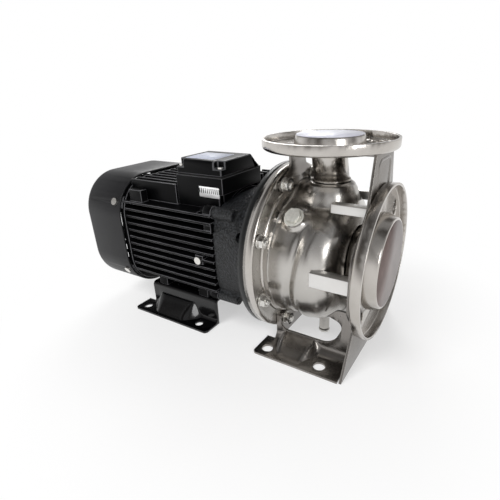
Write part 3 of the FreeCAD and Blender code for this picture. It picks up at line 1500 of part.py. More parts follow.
def fan_cover():
    """The fan cover: a rounded box over the fan, open in front, with ring slots in its back."""
    def hood(name, inset, low, high, corner):
        points = [
            (cover_half_width - inset, cover_half_height - inset, corner - inset),
            (inset - cover_half_width, cover_half_height - inset, corner - inset),
            (inset - cover_half_width, inset - cover_half_height, corner - inset),
            (cover_half_width - inset, inset - cover_half_height, corner - inset),
        ]
        body = slab(name, "YZ_Plane", points, low, high)
        return round_edges(body, cover_back_round - inset, lambda point: abs(point.x - float(low)) < 0.01)
    outer = hood("hood_outer", 0.0, tail, fan_cover_front, cover_corner)
    inner = hood("hood_inner", fan_cover_wall, tail + fan_cover_wall, fan_cover_front, cover_corner)
    rings = []
    for index in range(grille_rings):
        low = grille_inner + grille_pitch * index
        rings.append(turned(f"grille_ring_{index}", ring_profile(
            tail + fan_cover_wall + 1, tail - 1, low, low + grille_slot)))
    ribs = []
    for index in range(grille_ribs // 2):
        rib = doc.addObject("Part::Box", f"grille_rib_{index}")
        bind(rib, "Length", fan_cover_wall + 6)
        bind(rib, "Width", 2 * cover_half_width)
        bind(rib, "Height", grille_slot)
        turn = FreeCAD.Rotation(FreeCAD.Vector(1, 0, 0), 360.0 * index / grille_ribs + 30)
        corner = turn.multVec(FreeCAD.Vector(0, -float(cover_half_width), -float(grille_slot) / 2))
        rib.Placement = FreeCAD.Placement(corner, turn)
        bind(rib, "Placement.Base.x", tail - 2)
        ribs.append(rib)
    slots = carved("grille_slots", together("grille_rings_all", rings), [fused("grille_ribs_all", ribs)])
    bores = cover_screw_rods("hood_bore", cover_screw_radius / 2, cover_screw_start(), cover_corner + 1)
    finish("fan_cover", carved("hood_cut", outer, [inner, slots] + bores))


def cooling_fan():
    """The radial fan on the shaft's tail and the clip that keeps it there."""
    hub = turned("fan_hub", ring_profile(fan_front, fan_back, shaft_tail_radius, fan_hub_radius))
    disc = turned("fan_disc", ring_profile(fan_front, fan_front - fan_sheet, fan_hub_radius - 1, fan_radius))
    blades = []
    for index in range(fan_blades):
        blade = doc.addObject("Part::Box", f"fan_blade_{index}")
        bind(blade, "Length", fan_width)
        bind(blade, "Width", fan_radius - fan_hub_radius)
        bind(blade, "Height", fan_sheet)
        turn = FreeCAD.Rotation(FreeCAD.Vector(1, 0, 0), 360.0 * index / fan_blades)
        corner = turn.multVec(FreeCAD.Vector(0, float(fan_hub_radius) - 1, -float(fan_sheet) / 2))
        blade.Placement = FreeCAD.Placement(corner, turn)
        bind(blade, "Placement.Base.x", fan_back)
        blades.append(blade)
    finish("cooling_fan", fused("fan_whole", [hub, disc] + blades))
    finish("fan_clip", turned("clip_ring", ring_profile(
        fan_back, fan_back - 1.5, shaft_tail_radius, shaft_tail_radius + 5)))


def motor_foot():
    """The pressed motor foot: base flanges, two webs and a table under the housing's lugs."""
    front = pump_x - motor_foot_front
    back = pump_x - motor_foot_back
    sheet_top = floor_z + plate_sheet
    top = -motor_foot_top
    wall = motor_foot_wall
    bend = motor_foot_bend
    blank = slab("motor_foot_blank", "YZ_Plane", mirrored([
        (motor_foot_edge, floor_z),
        (motor_foot_edge, sheet_top),
        (wall, sheet_top, bend),
        (wall, top, bend),
    ]), back, front)
    space = slab("motor_foot_space", "YZ_Plane", mirrored([
        (wall - plate_sheet, floor_z),
        (wall - plate_sheet, top - plate_sheet, bend - plate_sheet),
    ]), back, front)
    wide = motor_foot_edge + 5
    end = block("motor_foot_end", (back - 5, pump_x - motor_web_back), (-wide, wide), (sheet_top, top + 5))
    spots = []
    for side in (1, -1):
        for setback in (motor_hole_front, motor_hole_front + motor_hole_spacing):
            spots.append((pump_x - setback, side * motor_hole_offset))
    feet = holes("motor_hole", motor_hole_radius, "Z", floor_z, sheet_top, spots)
    feet += holes("table_hole", foot_screw_radius, "Z", top - plate_sheet, top, lug_places())
    finish("motor_foot", carved("motor_foot_cut", blank, [space, end] + feet))


def small_screws():
    """The screws of foot, fan cover, lid and earth, each set a group of its own."""
    table = -motor_foot_top - plate_sheet
    foot = []
    for index, (x, y) in enumerate(lug_places()):
        tip = -motor_foot_top + foot_screw_reach
        shank = rod(f"foot_shank_{index}", foot_screw_radius, "Z", table, tip, x, y)
        head = hexagon(f"foot_head_{index}", foot_screw_flats, "Z", table - foot_screw_head, table, x, y)
        foot.append(fused(f"foot_screw_{index}", [shank, head]))
    finish("motor_foot_screws", together("foot_screw_set", foot))
    shanks = cover_screw_rods("cover_shank", cover_screw_radius / 2, cover_screw_start(), cover_corner)
    heads = cover_screw_rods("cover_head", cover_screw_radius, cover_corner, cover_corner + cover_screw_head)
    pairs = [fused(f"cover_screw_{index}", list(pair)) for index, pair in enumerate(zip(shanks, heads))]
    finish("fan_cover_screws", together("cover_screw_set", pairs))
    x, z = ground_place()
    finish("ground_screw", fused("ground_screw_whole", [
        rod("ground_shank", ground_screw_radius / 2, "Y", -fin_tip, -fin_tip + ground_screw_reach, x, z),
        rod("ground_head", ground_screw_radius, "Y", -fin_tip - ground_screw_height, -fin_tip, x, z),
    ]))
    lid = []
    for index, (x, y) in enumerate(lid_screw_places()):
        seat = lid_seat(y)
        lid.append(fused(f"lid_screw_{index}", [
            rod(f"lid_shank_{index}", lid_screw_radius, "Z", box_seam_height - lid_screw_reach, seat, x, y),
            rod(f"lid_head_{index}", 1.6 * lid_screw_radius, "Z", seat, seat + lid_screw_head, x, y),
        ]))
    finish("lid_screws", together("lid_screw_set", lid))


def cover_screw_signs():
    return [(side, up) for side in (1, -1) for up in (1, -1)]


def cover_screw_start():
    """How far from the corner's centre the fan cover's screws end."""
    return cover_corner - fan_cover_wall - cover_screw_reach


def cover_screw_rod(name, radius, low, high, side, up):
    """A cylinder square to the fan cover's rounded corner, between two distances from its centre."""
    lean = math.radians(cover_screw_lean)
    outward = FreeCAD.Vector(0, side * math.cos(lean), up * math.sin(lean))
    cylinder = doc.addObject("Part::Cylinder", name)
    bind(cylinder, "Radius", radius)
    bind(cylinder, "Height", high - low)
    y = side * (cover_half_width - cover_corner + low * math.cos(lean))
    z = up * (cover_half_height - cover_corner + low * math.sin(lean))
    turn = FreeCAD.Rotation(FreeCAD.Vector(0, 0, 1), outward)
    return place(cylinder, fan_cover_front - cover_screw_setback, y, z, rotation=turn)


def cover_screw_rods(name, radius, low, high):
    """The same cylinder at each of the fan cover's four screws."""
    return [cover_screw_rod(f"{name}_{index}", radius, low, high, *signs)
            for index, signs in enumerate(cover_screw_signs())]


def lid_screw_places():
    """The four lid screws (x, y), in from the terminal box's corners."""
    front = box_front
    inset = lid_notch_length / 2
    across = lid_notch_width / 2 + lid_inset
    ends = (front - inset, front - box_length + inset)
    return [(x, y) for x in ends for y in (across - box_near, box_far - across)]


def lid_seat(y):
    """The height that a lid screw's head sits at, lower on the lid's sloping far side."""
    return box_seam_height + (lid_near_seat if float(y) < 0 else lid_far_seat)


def export_parts():
    """Check every object, then write each sub-part to its own file."""
    doc.recompute()
    for thing in doc.Objects:
        if "Invalid" in thing.State or "Error" in thing.State:
            raise RuntimeError(f"{thing.Label} failed: {thing.State}")
    os.makedirs("parts", exist_ok=True)
    for name, piece in finished.items():
        shape = piece.Shape
        if shape.isNull() or not shape.isValid() or not shape.Solids:
            raise RuntimeError(f"{name} has no valid solid")
        shape.exportStep(f"parts/{name}.step")
        print(f"{name}: {len(shape.Solids)} solids, {shape.Volume / 1000:.2f} cm3")


port_flanges()
port_collars()
suction_pipe()
casing_outside = volute_casing()
plugs()
discharge_neck()
front_yoke()
rear_bracket()
flange_struts(casing_outside)
pump_foot()
casing_fasteners()
cover_and_gasket()
seal()
impeller()
wear_ring()
shaft()
bearings()
rotor_and_stator()
lantern()
tie_screws()
motor_housing()
rear_end_shield()
terminal_box()
fan_cover()
cooling_fan()
motor_foot()
small_screws()
export_parts()
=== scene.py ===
import json
import math
import bmesh
import bpy
from mathutils import Matrix, Vector, noise


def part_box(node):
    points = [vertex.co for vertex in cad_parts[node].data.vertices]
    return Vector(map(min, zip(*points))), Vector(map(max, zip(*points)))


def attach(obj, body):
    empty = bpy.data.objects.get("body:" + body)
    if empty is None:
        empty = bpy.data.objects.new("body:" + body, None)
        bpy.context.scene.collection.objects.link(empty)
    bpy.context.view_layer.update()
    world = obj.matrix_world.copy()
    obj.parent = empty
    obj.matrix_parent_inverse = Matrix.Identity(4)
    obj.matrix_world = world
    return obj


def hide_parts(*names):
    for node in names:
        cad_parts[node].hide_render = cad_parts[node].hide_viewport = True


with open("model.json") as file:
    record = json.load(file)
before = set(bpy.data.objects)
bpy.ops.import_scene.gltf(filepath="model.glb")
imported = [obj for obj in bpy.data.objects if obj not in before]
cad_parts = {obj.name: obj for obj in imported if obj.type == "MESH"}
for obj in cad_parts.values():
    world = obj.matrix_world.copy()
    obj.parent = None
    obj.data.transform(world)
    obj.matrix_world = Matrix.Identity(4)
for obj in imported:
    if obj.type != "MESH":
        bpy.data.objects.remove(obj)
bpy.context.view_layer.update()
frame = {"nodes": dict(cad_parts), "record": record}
nodes = frame["nodes"]
scene = bpy.context.scene
BODY = {name: body for body, names in frame["record"]["behaviour"]["bodies"].items() for name in names}
SLOT = {entry["node"]: entry["material_slot"] for entry in frame["record"]["subparts"]}
MM = 0.001

# Where the neck's axis and the floor lie, read from the frame
neck_low, neck_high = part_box("discharge_flange")
NECK_X = (neck_low.x + neck_high.x) / 2
FLOOR_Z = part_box("pump_foot")[0].z

# Points that lie nearer than these, in metres, are one point, as on a spun shape's seam.
# Faces that turn by less than the angle, in degrees, are one flat
SAME_POINT = 0.000002
SAME_SPUN_POINT = 0.000005
FLAT_ANGLE = 0.5


# Colours and nodes

def paint(hex_colour):
    """Turn an sRGB hex colour into the linear colour that a shader takes."""
    parts = [int(hex_colour[place:place + 2], 16) / 255 for place in (1, 3, 5)]
    linear = [part / 12.92 if part <= 0.04045 else ((part + 0.055) / 1.055) ** 2.4 for part in parts]
    return (*linear, 1.0)


def add(tree, kind, values=None, stops=(), **settings):
    """Add a node with its settings, and set or link its inputs. Stops are a ramp's places and colours."""
    node = tree.nodes.new(kind)
    for name, setting in settings.items():
        setattr(node, name, setting)
    if stops:
        for element, (place, hex_colour) in zip(node.color_ramp.elements, stops):
            element.position = place
            element.color = paint(hex_colour)
    for name, value in (values or {}).items():
        if isinstance(value, tuple) and isinstance(value[0], bpy.types.Node):
            tree.links.new(value[0].outputs[value[1]], node.inputs[name])
        else:
            node.inputs[name].default_value = value
    return node


# Finishes

# Most of a noise's values lie between these two
COMMON_LOW = 0.3
COMMON_HIGH = 0.7
# How much of each pattern is in its finer layers
FINE_SHARE = 0.55


def new_finish(name):
    """An empty material, its node tree, and the object coordinates that its patterns read."""
    material = bpy.data.materials.new(name)
    material.use_nodes = True
    tree = material.node_tree
    tree.nodes.clear()
    place = add(tree, "ShaderNodeTexCoord")
    return material, tree, (place, "Object")


def finish_off(tree, height, depth, strength, sockets):
    """End a finish with its relief, whose depth is in metres, its shader and its output."""
    bump = add(tree, "ShaderNodeBump", {"Height": height, "Distance": depth, "Strength": strength})
    shader = add(tree, "ShaderNodeBsdfPrincipled", {"Normal": (bump, "Normal"), **sockets})
    add(tree, "ShaderNodeOutputMaterial", {"Surface": (shader, "BSDF")})


def rings_round(tree, place, upright):
    """Coordinates that change only along a turned part's axis and with the distance from it."""
    centre = (-NECK_X, 0, 0) if upright else (0, 0, 0)
    across, out, along = ("X", "Y", "Z") if upright else ("Y", "Z", "X")
    shifted = add(tree, "ShaderNodeVectorMath", {0: place, 1: centre}, operation="ADD")
    parts = add(tree, "ShaderNodeSeparateXYZ", {"Vector": (shifted, "Vector")})
    flat = add(tree, "ShaderNodeCombineXYZ", {"X": (parts, across), "Y": (parts, out)})
    radius = add(tree, "ShaderNodeVectorMath", {0: (flat, "Vector")}, operation="LENGTH")
    return add(tree, "ShaderNodeCombineXYZ", {"X": (radius, "Value"), "Y": (parts, along)})


def stainless(name, dark, light, rough, ripple_depth, spun_round=None):
    """Stainless steel, drawn, spun or rolled, and polished: two greys, smeared gloss and a slow ripple.

    The ripple is 4 cm wide and bends the reflections, as drawn sheet does. Handling leaves smears 5 cm
    wide. Polishing lines are drawn 0.5 mm apart, coarser than real, so that they show. They run round
    the shaft or the neck on a spun part, and up and down on a plain one."""
    line_pitch, line_stretch, smear_width, ripple_width = 0.0005, 14, 0.05, 0.04
    line_height = 0.03
    glossier, duller = rough - 0.03, rough + 0.05
    material, tree, place = new_finish(name)
    if spun_round:
        lines_at = rings_round(tree, place, spun_round == "neck")
    else:
        lines_at = add(tree, "ShaderNodeMapping", {"Vector": place, "Scale": (1, 1, 1 / line_stretch)})
    lines = add(tree, "ShaderNodeTexNoise", {
        "Vector": (lines_at, "Vector"), "Scale": 1 / line_pitch, "Detail": 2, "Roughness": FINE_SHARE})
    smears = add(tree, "ShaderNodeTexNoise", {
        "Vector": place, "Scale": 1 / smear_width, "Detail": 3, "Roughness": FINE_SHARE})
    ripple = add(tree, "ShaderNodeTexNoise", {
        "Vector": place, "Scale": 1 / ripple_width, "Detail": 1, "Roughness": FINE_SHARE})
    gloss = add(tree, "ShaderNodeMapRange", {
        "Value": (smears, "Fac"), "From Min": COMMON_LOW, "From Max": COMMON_HIGH,
        "To Min": glossier, "To Max": duller})
    colour = add(tree, "ShaderNodeValToRGB", {"Fac": (smears, "Fac")},
                 stops=((COMMON_LOW, dark), (COMMON_HIGH, light)))
    faint = add(tree, "ShaderNodeMath", {0: (lines, "Fac"), 1: line_height}, operation="MULTIPLY")
    height = add(tree, "ShaderNodeMath", {0: (ripple, "Fac"), 1: (faint, "Value")}, operation="ADD")
    finish_off(tree, height=(height, "Value"), depth=ripple_depth, strength=0.5, sockets={
        "Base Color": (colour, "Color"), "Roughness": (gloss, "Result"), "Metallic": 1.0})
    return material


def machined_steel(name, dark, light):
    """Turned, ground or plated steel: patches of grey 6 mm wide, and the tool's marks.

    The marks are drawn 0.5 mm apart and 4 mm long, coarser than real, so that they show."""
    mark_pitch, mark_stretch, mark_depth, patch_width = 0.0005, 8, 0.00003, 0.006
    smooth, scored = 0.18, 0.32
    material, tree, place = new_finish(name)
    long = add(tree, "ShaderNodeMapping", {"Vector": place, "Scale": (1 / mark_stretch, 1, 1)})
    marks = add(tree, "ShaderNodeTexNoise", {
        "Vector": (long, "Vector"), "Scale": 1 / mark_pitch, "Detail": 3, "Roughness": FINE_SHARE})
    patches = add(tree, "ShaderNodeTexNoise", {
        "Vector": place, "Scale": 1 / patch_width, "Detail": 3, "Roughness": FINE_SHARE})
    colour = add(tree, "ShaderNodeValToRGB", {"Fac": (patches, "Fac")},
                 stops=((COMMON_LOW, dark), (COMMON_HIGH, light)))
    gloss = add(tree, "ShaderNodeMapRange", {
        "Value": (marks, "Fac"), "From Min": COMMON_LOW, "From Max": COMMON_HIGH,
        "To Min": smooth, "To Max": scored})
    finish_off(tree, height=(marks, "Fac"), depth=mark_depth, strength=0.5, sockets={
        "Base Color": (colour, "Color"), "Roughness": (gloss, "Result"), "Metallic": 1.0})
    return material


def painted(name, dark, light, rough, skin, depth, specular, coat=0.0):
    """Paint over metal: a colour and gloss that vary over 3 cm, and a skin of a real grain and depth."""
    patch_width, coat_rough = 0.03, 0.12
    glossier, duller = rough - 0.05, rough + 0.06
    material, tree, place = new_finish(name)
    patches = add(tree, "ShaderNodeTexNoise", {
        "Vector": place, "Scale": 1 / patch_width, "Detail": 4, "Roughness": FINE_SHARE})
    lumps = add(tree, "ShaderNodeTexNoise", {
        "Vector": place, "Scale": 1 / skin, "Detail": 3, "Roughness": FINE_SHARE})
    colour = add(tree, "ShaderNodeValToRGB", {"Fac": (patches, "Fac")},
                 stops=((COMMON_LOW, dark), (COMMON_HIGH, light)))
    gloss = add(tree, "ShaderNodeMapRange", {
        "Value": (patches, "Fac"), "From Min": COMMON_LOW, "From Max": COMMON_HIGH,
        "To Min": glossier, "To Max": duller})
    finish_off(tree, height=(lumps, "Fac"), depth=depth, strength=0.6, sockets={
        "Base Color": (colour, "Color"), "Roughness": (gloss, "Result"), "Specular IOR Level": specular,
        "Coat Weight": coat, "Coat Roughness": coat_rough})
    return material


def sand_cast(name, pit_shade, grain_highlight):
    """Thin paint over sand-cast iron: grains 2.5 mm across, as in the photograph, with painted shade in their
    pits and a painted highlight on their tops.
    """
    grain, depth, shade_share = 0.0025, 0.0025, 0.42
    material, tree, place = new_finish(name)
    lumps = add(tree, "ShaderNodeTexNoise", {
        "Vector": place, "Scale": 1 / grain, "Detail": 2, "Roughness": FINE_SHARE})
    # Painted shade in the pits and a painted highlight on the grain tops, set by the same lumps as the relief
    colour = add(tree, "ShaderNodeValToRGB", {"Fac": (lumps, "Fac")},
                 stops=((shade_share, pit_shade), (COMMON_HIGH, grain_highlight)))
    finish_off(tree, height=(lumps, "Fac"), depth=depth, strength=0.9, sockets={
        "Base Color": (colour, "Color"), "Roughness": 0.42})
    return material


def fine_skinned(name, dark, light, rough, skin=0.002, depth=0.00005, metallic=0.0):
    """Moulded, plated, wound or film surfaces: a skin of one grain, which carries the colour too."""
    material, tree, place = new_finish(name)
    lumps = add(tree, "ShaderNodeTexNoise", {
        "Vector": place, "Scale": 1 / skin, "Detail": 3, "Roughness": FINE_SHARE})
    colour = add(tree, "ShaderNodeValToRGB", {"Fac": (lumps, "Fac")},
                 stops=((COMMON_LOW, dark), (COMMON_HIGH, light)))
    finish_off(tree, height=(lumps, "Fac"), depth=depth, strength=0.5, sockets={
        "Base Color": (colour, "Color"), "Roughness": rough, "Metallic": metallic})
    return material


def barred_paper(name, low, high):
    """White paper printed with plain upright bars between two heights, black ink on a half-matt face.

    The bars are 3 mm apart, coarser than real, so that they show as bars."""
    bar_pitch, ink_from = 0.003, 0.1
    material, tree, place = new_finish(name)
    parts = add(tree, "ShaderNodeSeparateXYZ", {"Vector": place})
    phase = add(tree, "ShaderNodeMath", {0: (parts, "X"), 1: 2 * math.pi / bar_pitch}, operation="MULTIPLY")
    wave = add(tree, "ShaderNodeMath", {0: (phase, "Value")}, operation="SINE")
    bars = add(tree, "ShaderNodeMath", {0: (wave, "Value"), 1: ink_from}, operation="GREATER_THAN")
    above = add(tree, "ShaderNodeMath", {0: (parts, "Z"), 1: low}, operation="GREATER_THAN")
    below = add(tree, "ShaderNodeMath", {0: (parts, "Z"), 1: high}, operation="LESS_THAN")
    band = add(tree, "ShaderNodeMath", {0: (above, "Value"), 1: (below, "Value")}, operation="MULTIPLY")
    ink = add(tree, "ShaderNodeMath", {0: (bars, "Value"), 1: (band, "Value")}, operation="MULTIPLY")
    colour = add(tree, "ShaderNodeValToRGB", {"Fac": (ink, "Value")},
                 stops=((COMMON_LOW, "#fbfbfb"), (COMMON_HIGH, "#1c1c1c")))
    shader = add(tree, "ShaderNodeBsdfPrincipled", {"Base Color": (colour, "Color"), "Roughness": 0.45})
    add(tree, "ShaderNodeOutputMaterial", {"Surface": (shader, "BSDF")})
    return material


FINISHES = {
    # Drawn and polished shell: a satin sheen whose reflections bend and smear
    "pressed_steel": stainless("stainless sheet drawn satin", "#bbb8b3", "#cbc8c4", 0.25, 0.00012),
    # Bright plate: a pale glint on each screw
    "fastener_steel": machined_steel("steel zinc plated bright", "#cfcdc8", "#eceae6"),
    # Ground bar: a greyer, even shine
    "shaft_steel": machined_steel("steel ground", "#c2c0bb", "#dedcd7"),
    # Rough casting: a coarse speckle, painted shade in the black pits and painted highlights on the grey tops
    "cast_black": sand_cast("iron sand cast black paint", "#08090a", "#2f3134"),
    # Paint on the finned housing: deep black with a weak sheen, so that only the edges show
    "motor_black": painted("aluminium die cast black paint", "#040405", "#09090a", 0.4, 0.0009, 0.0001, 0.1),
    # Powder paint on sheet: smooth charcoal with a broad soft highlight
    "cover_black": painted("steel sheet charcoal paint", "#161617", "#1f1f21", 0.42, 0.0006, 0.00004, 0.45),
    # Enamel: wet black with sharp highlights along the folds
    "foot_black": painted("steel pressed black enamel", "#040405", "#080809", 0.16, 0.002, 0.00005, 0.35,
                          coat=0.3),
    # Rubber: matt and nearly black
    "gasket_rubber": fine_skinned("rubber moulded black", "#0c0c0c", "#151515", 0.7),
    # Lapped ceramic: smooth ivory
    "seal_ceramic": fine_skinned("ceramic lapped ivory", "#d8d4c6", "#e6e2d6", 0.2),
    # Stacked sheets: grey metal with a fine grain
    "core_steel": fine_skinned("steel laminated", "#55565a", "#6d6e72", 0.45, 0.0005, 0.0002, 1.0),
    # Enamelled wire: warm brown, ridged like the turns
    "winding_copper": fine_skinned("copper enamelled wound", "#6b2f14", "#8f4520", 0.35, 0.0009, 0.0004, 0.6),
    # Moulded nylon: a half-matt black
    "fan_plastic": fine_skinned("nylon moulded black", "#0c0c0c", "#141414", 0.5),
    # Moulded phenolic: dull tan
    "terminal_plastic": fine_skinned("phenolic moulded", "#8d8570", "#a0987f", 0.55),
}
# Spun faces: bright, with polishing lines that run round the part
SPUN_SHAFT = stainless("stainless spun bright round the shaft", "#b9b4ae", "#cdc9c4", 0.2, 0.00005, "shaft")
SPUN_NECK = stainless("stainless spun bright round the neck", "#b9b4ae", "#cdc9c4", 0.2, 0.00005, "neck")
# Rolled sheet: a darker grey mirror with flat, calm reflections
ROLLED_SHEET = stainless("stainless sheet rolled and folded", "#7f7b77", "#96928e", 0.25, 0.0001)
# Brushed bar: almost matt and pale, its colour raised further as a painted reflection of a bright area
BAR_PAINTED_REFLECTION = stainless("stainless bar brushed painted reflection", "#e4e2df", "#f1f0ee", 0.42, 0.00005)
# Painted highlight on edges: a grey line on the rounded edges, where light would catch them, that draws the
# black castings' outlines
EDGE_HIGHLIGHT_PAINT = painted("black paint with painted edge highlight", "#38383a", "#58585b", 0.35, 0.0009, 0.00005, 0.5)
# Dull plate: a pale, soft grey on the plug
ZINC = fine_skinned("steel zinc plated dull bright", "#cfcec6", "#e4e3dc", 0.34, 0.004, 0.00005, 0.55)
# Enamel on a machined rim: a smooth black line beside the rough casting
RIM_PAINT = painted("iron machined rim black enamel", "#0b0c0c", "#121414", 0.3, 0.002, 0.00003, 0.5)
# Bare weld: a rippled, faintly straw-coloured bead
WELD = machined_steel("stainless weld bead", "#a09a92", "#c9c4bd")
# Film: pale and slightly blue over the upper port
CLEAR_FILM = fine_skinned("polyethylene film pale", "#cfd0dc", "#e2e3ec", 0.35, 0.006, 0.0002)
# Film over the bore: pale film coloured brownish grey as a painted shade of the dark bore behind it, with a
# soft shine
SHADED_BORE_FILM = fine_skinned("polyethylene film painted shade of bore", "#6a5b57", "#7d6d69", 0.3, 0.02, 0.0003)
# Bare label: pale blue-grey, lightly mottled
LABEL_FILM = fine_skinned("aluminised label film bare", "#b4b9c8", "#d3d7e4", 0.5, 0.004, 0.0001)
FINISH_OF = {
    "suction_flange": SPUN_SHAFT, "suction_collar": SPUN_SHAFT, "suction_pipe": SPUN_SHAFT,
    "discharge_flange": SPUN_NECK, "discharge_collar": SPUN_NECK, "discharge_neck": SPUN_NECK,
    "front_yoke": ROLLED_SHEET, "rear_bracket": ROLLED_SHEET, "pump_foot": ROLLED_SHEET,
    "flange_struts": BAR_PAINTED_REFLECTION, "plug_washer": ZINC, "filling_plug": ZINC,
}


def finish_of(name):
    """A node's own finish, or the one of its slot."""
    return FINISH_OF.get(name) or FINISHES[SLOT[name]]


# Every node gets its finish, so that none is left plain
for name in SLOT:
    nodes[name].data.materials.clear()
    nodes[name].data.materials.append(finish_of(name))


# Making pieces; widths, radii and places are in millimetres from here on

def piece_of(name, shape, finish, body="pump_frame"):
    """Turn a bmesh into an object in the frame that rides on a body."""
    mesh = bpy.data.meshes.new(name)
    shape.to_mesh(mesh)
    shape.free()
    mesh.materials.append(finish)
    mesh.shade_smooth()
    piece = bpy.data.objects.new(name, mesh)
    scene.collection.objects.link(piece)
    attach(piece, body)
    return piece


def stand_in(name, shape):
    """A piece that stands for a node, on its body and with its finish."""
    piece = piece_of(name + "_dressed", shape, finish_of(name), BODY[name])
    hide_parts(name)
    return piece


def clean_copy(name, whole_flats=True):
    """A copy of a node's mesh as a bmesh, its points merged and its flats made whole."""
    shape = bmesh.new()
    shape.from_mesh(nodes[name].data)
    bmesh.ops.remove_doubles(shape, verts=shape.verts, dist=SAME_POINT)
    if whole_flats:
        bmesh.ops.dissolve_limit(shape, angle_limit=math.radians(FLAT_ANGLE), verts=shape.verts,
                                 edges=shape.edges)
    return shape


def round_edges(piece, width, corner=35, segments=2, edge_highlight=None):
    """Round the edges that turn by more than a corner's angle; a finish with a painted highlight goes on the
    rounding.
    """
    rounding = piece.modifiers.new("rounded edges", "BEVEL")
    rounding.width = width * MM
    rounding.segments = segments
    rounding.limit_method = "ANGLE"
    rounding.angle_limit = math.radians(corner)
    rounding.use_clamp_overlap = False
    rounding.harden_normals = True
    if edge_highlight:
        piece.data.materials.append(edge_highlight)
        rounding.material = len(piece.data.materials) - 1


def dressed(name, width, segments=2, edge_highlight=None):
    """A node's clean copy with rounded edges, which stands for the node."""
    round_edges(stand_in(name, clean_copy(name)), width, segments=segments, edge_highlight=edge_highlight)


def blended(name, voxel, passes):
    """A node's copy with its inner corners filled and its edges softened, as drawn or cast metal has.

    Its skin is drawn back a little, so that the rings laid on it stand clear."""
    drawn_back = 0.3
    piece = stand_in(name, clean_copy(name, whole_flats=False))
    skin = piece.modifiers.new("even skin", "REMESH")
    skin.mode = "VOXEL"
    skin.voxel_size = voxel * MM
    skin.use_smooth_shade = True
    soften = piece.modifiers.new("softened", "SMOOTH")
    soften.factor = 0.5
    soften.iterations = passes
    drawn = piece.modifiers.new("drawn back", "DISPLACE")
    drawn.strength = -drawn_back * MM
    drawn.mid_level = 0.0
    return piece


def spun(profile, upright=False, steps=144):
    """A closed profile of (along, radius) points, spun round the shaft or, upright, round the neck."""
    shape = bmesh.new()
    if upright:
        ring = [shape.verts.new((NECK_X + radius * MM, 0, along * MM)) for along, radius in profile]
        centre, axis = (NECK_X, 0, 0), (0, 0, 1)
    else:
        ring = [shape.verts.new((along * MM, 0, radius * MM)) for along, radius in profile]
        centre, axis = (0, 0, 0), (1, 0, 0)
    edges = [shape.edges.new(pair) for pair in zip(ring, ring[1:] + ring[:1])]
    bmesh.ops.spin(shape, geom=ring + edges, cent=centre, axis=axis, angle=2 * math.pi, steps=steps,
                   use_merge=True)
    bmesh.ops.remove_doubles(shape, verts=shape.verts, dist=SAME_SPUN_POINT)
    bmesh.ops.recalc_face_normals(shape, faces=shape.faces)
    return shape


def rounded_card(turn, width, height, corner, lift):
    """A thin card with rounded corners, laid by a matrix and thickened by lift, both in metres."""
    shape = bmesh.new()
    bmesh.ops.create_grid(shape, x_segments=1, y_segments=1, size=0.5)
    size = Matrix.Diagonal((width * MM, height * MM, 1, 1))
    bmesh.ops.transform(shape, matrix=turn @ size, verts=shape.verts)
    bmesh.ops.bevel(shape, geom=shape.verts[:], offset=corner * MM, segments=4, profile=0.5,
                    affect="VERTICES", material=-1)
    solid = bmesh.ops.extrude_face_region(shape, geom=shape.faces[:])
    raised = [part for part in solid["geom"] if isinstance(part, bmesh.types.BMVert)]
    bmesh.ops.translate(shape, vec=lift, verts=raised)
    bmesh.ops.recalc_face_normals(shape, faces=shape.faces)
    return shape


# The casing and its rings

# The valley that is pressed round the casing's near side, and the swell in front of it.
# Turns are in degrees, 0 at the near side and 90 at the top, and the lean is millimetres per degree
CREASE_RADII = (55, 90)
CREASE_SPAN = (-135, -55)
CREASE_TOP_TURN = 48
CREASE_END_TURN = -100
CREASE_FADE = 30
CREASE_PLACE = -90
CREASE_LEAN = 0.12
CREASE_WANDER = 1.2
VALLEY_DEPTH = 2.1
VALLEY_WIDTH = 4.2
SWELL_HEIGHT = 1.8
SWELL_WIDTH = 7
SWELL_AHEAD = 13

# Where the neck's shoulder runs into the spiral, and how often its points are evened out
SHOULDER_HEIGHTS = (40, 84)
SHOULDER_MIDDLE = 6
SHOULDER_REACH = 58
SHOULDER_BACK = -134
SHOULDER_PASSES = 70


def casing_crease(spot):
    """Where a point of the casing goes when the valley and the swell are pressed in."""
    radius = math.hypot(spot.y, spot.z) / MM
    along = spot.x / MM
    if radius < CREASE_RADII[0] or radius > CREASE_RADII[1]:
        return spot
    if along < CREASE_SPAN[0] or along > CREASE_SPAN[1]:
        return spot
    turn = math.degrees(math.atan2(spot.z, -spot.y))
    fade_up = min(1.0, max(0.0, (CREASE_TOP_TURN - turn) / CREASE_FADE))
    fade_down = min(1.0, max(0.0, (turn - CREASE_END_TURN) / CREASE_FADE))
    share = fade_up * fade_down
    share = share * share * (3 - 2 * share)
    line = CREASE_PLACE + CREASE_LEAN * turn + CREASE_WANDER * math.sin(math.radians(turn * 4))
    across = along - line
    valley = VALLEY_DEPTH * math.exp(-(across / VALLEY_WIDTH) ** 2)
    swell = SWELL_HEIGHT * math.exp(-((across - SWELL_AHEAD) / SWELL_WIDTH) ** 2)
    scale = 1 - share * (valley - swell) / radius
    return Vector((spot.x, spot.y * scale, spot.z * scale))


def in_shoulder(spot):
    """True where the neck's shoulder runs into the spiral."""
    return (SHOULDER_HEIGHTS[0] * MM < spot.z < SHOULDER_HEIGHTS[1] * MM
            and abs(spot.y - SHOULDER_MIDDLE * MM) < SHOULDER_REACH * MM and spot.x > SHOULDER_BACK * MM)


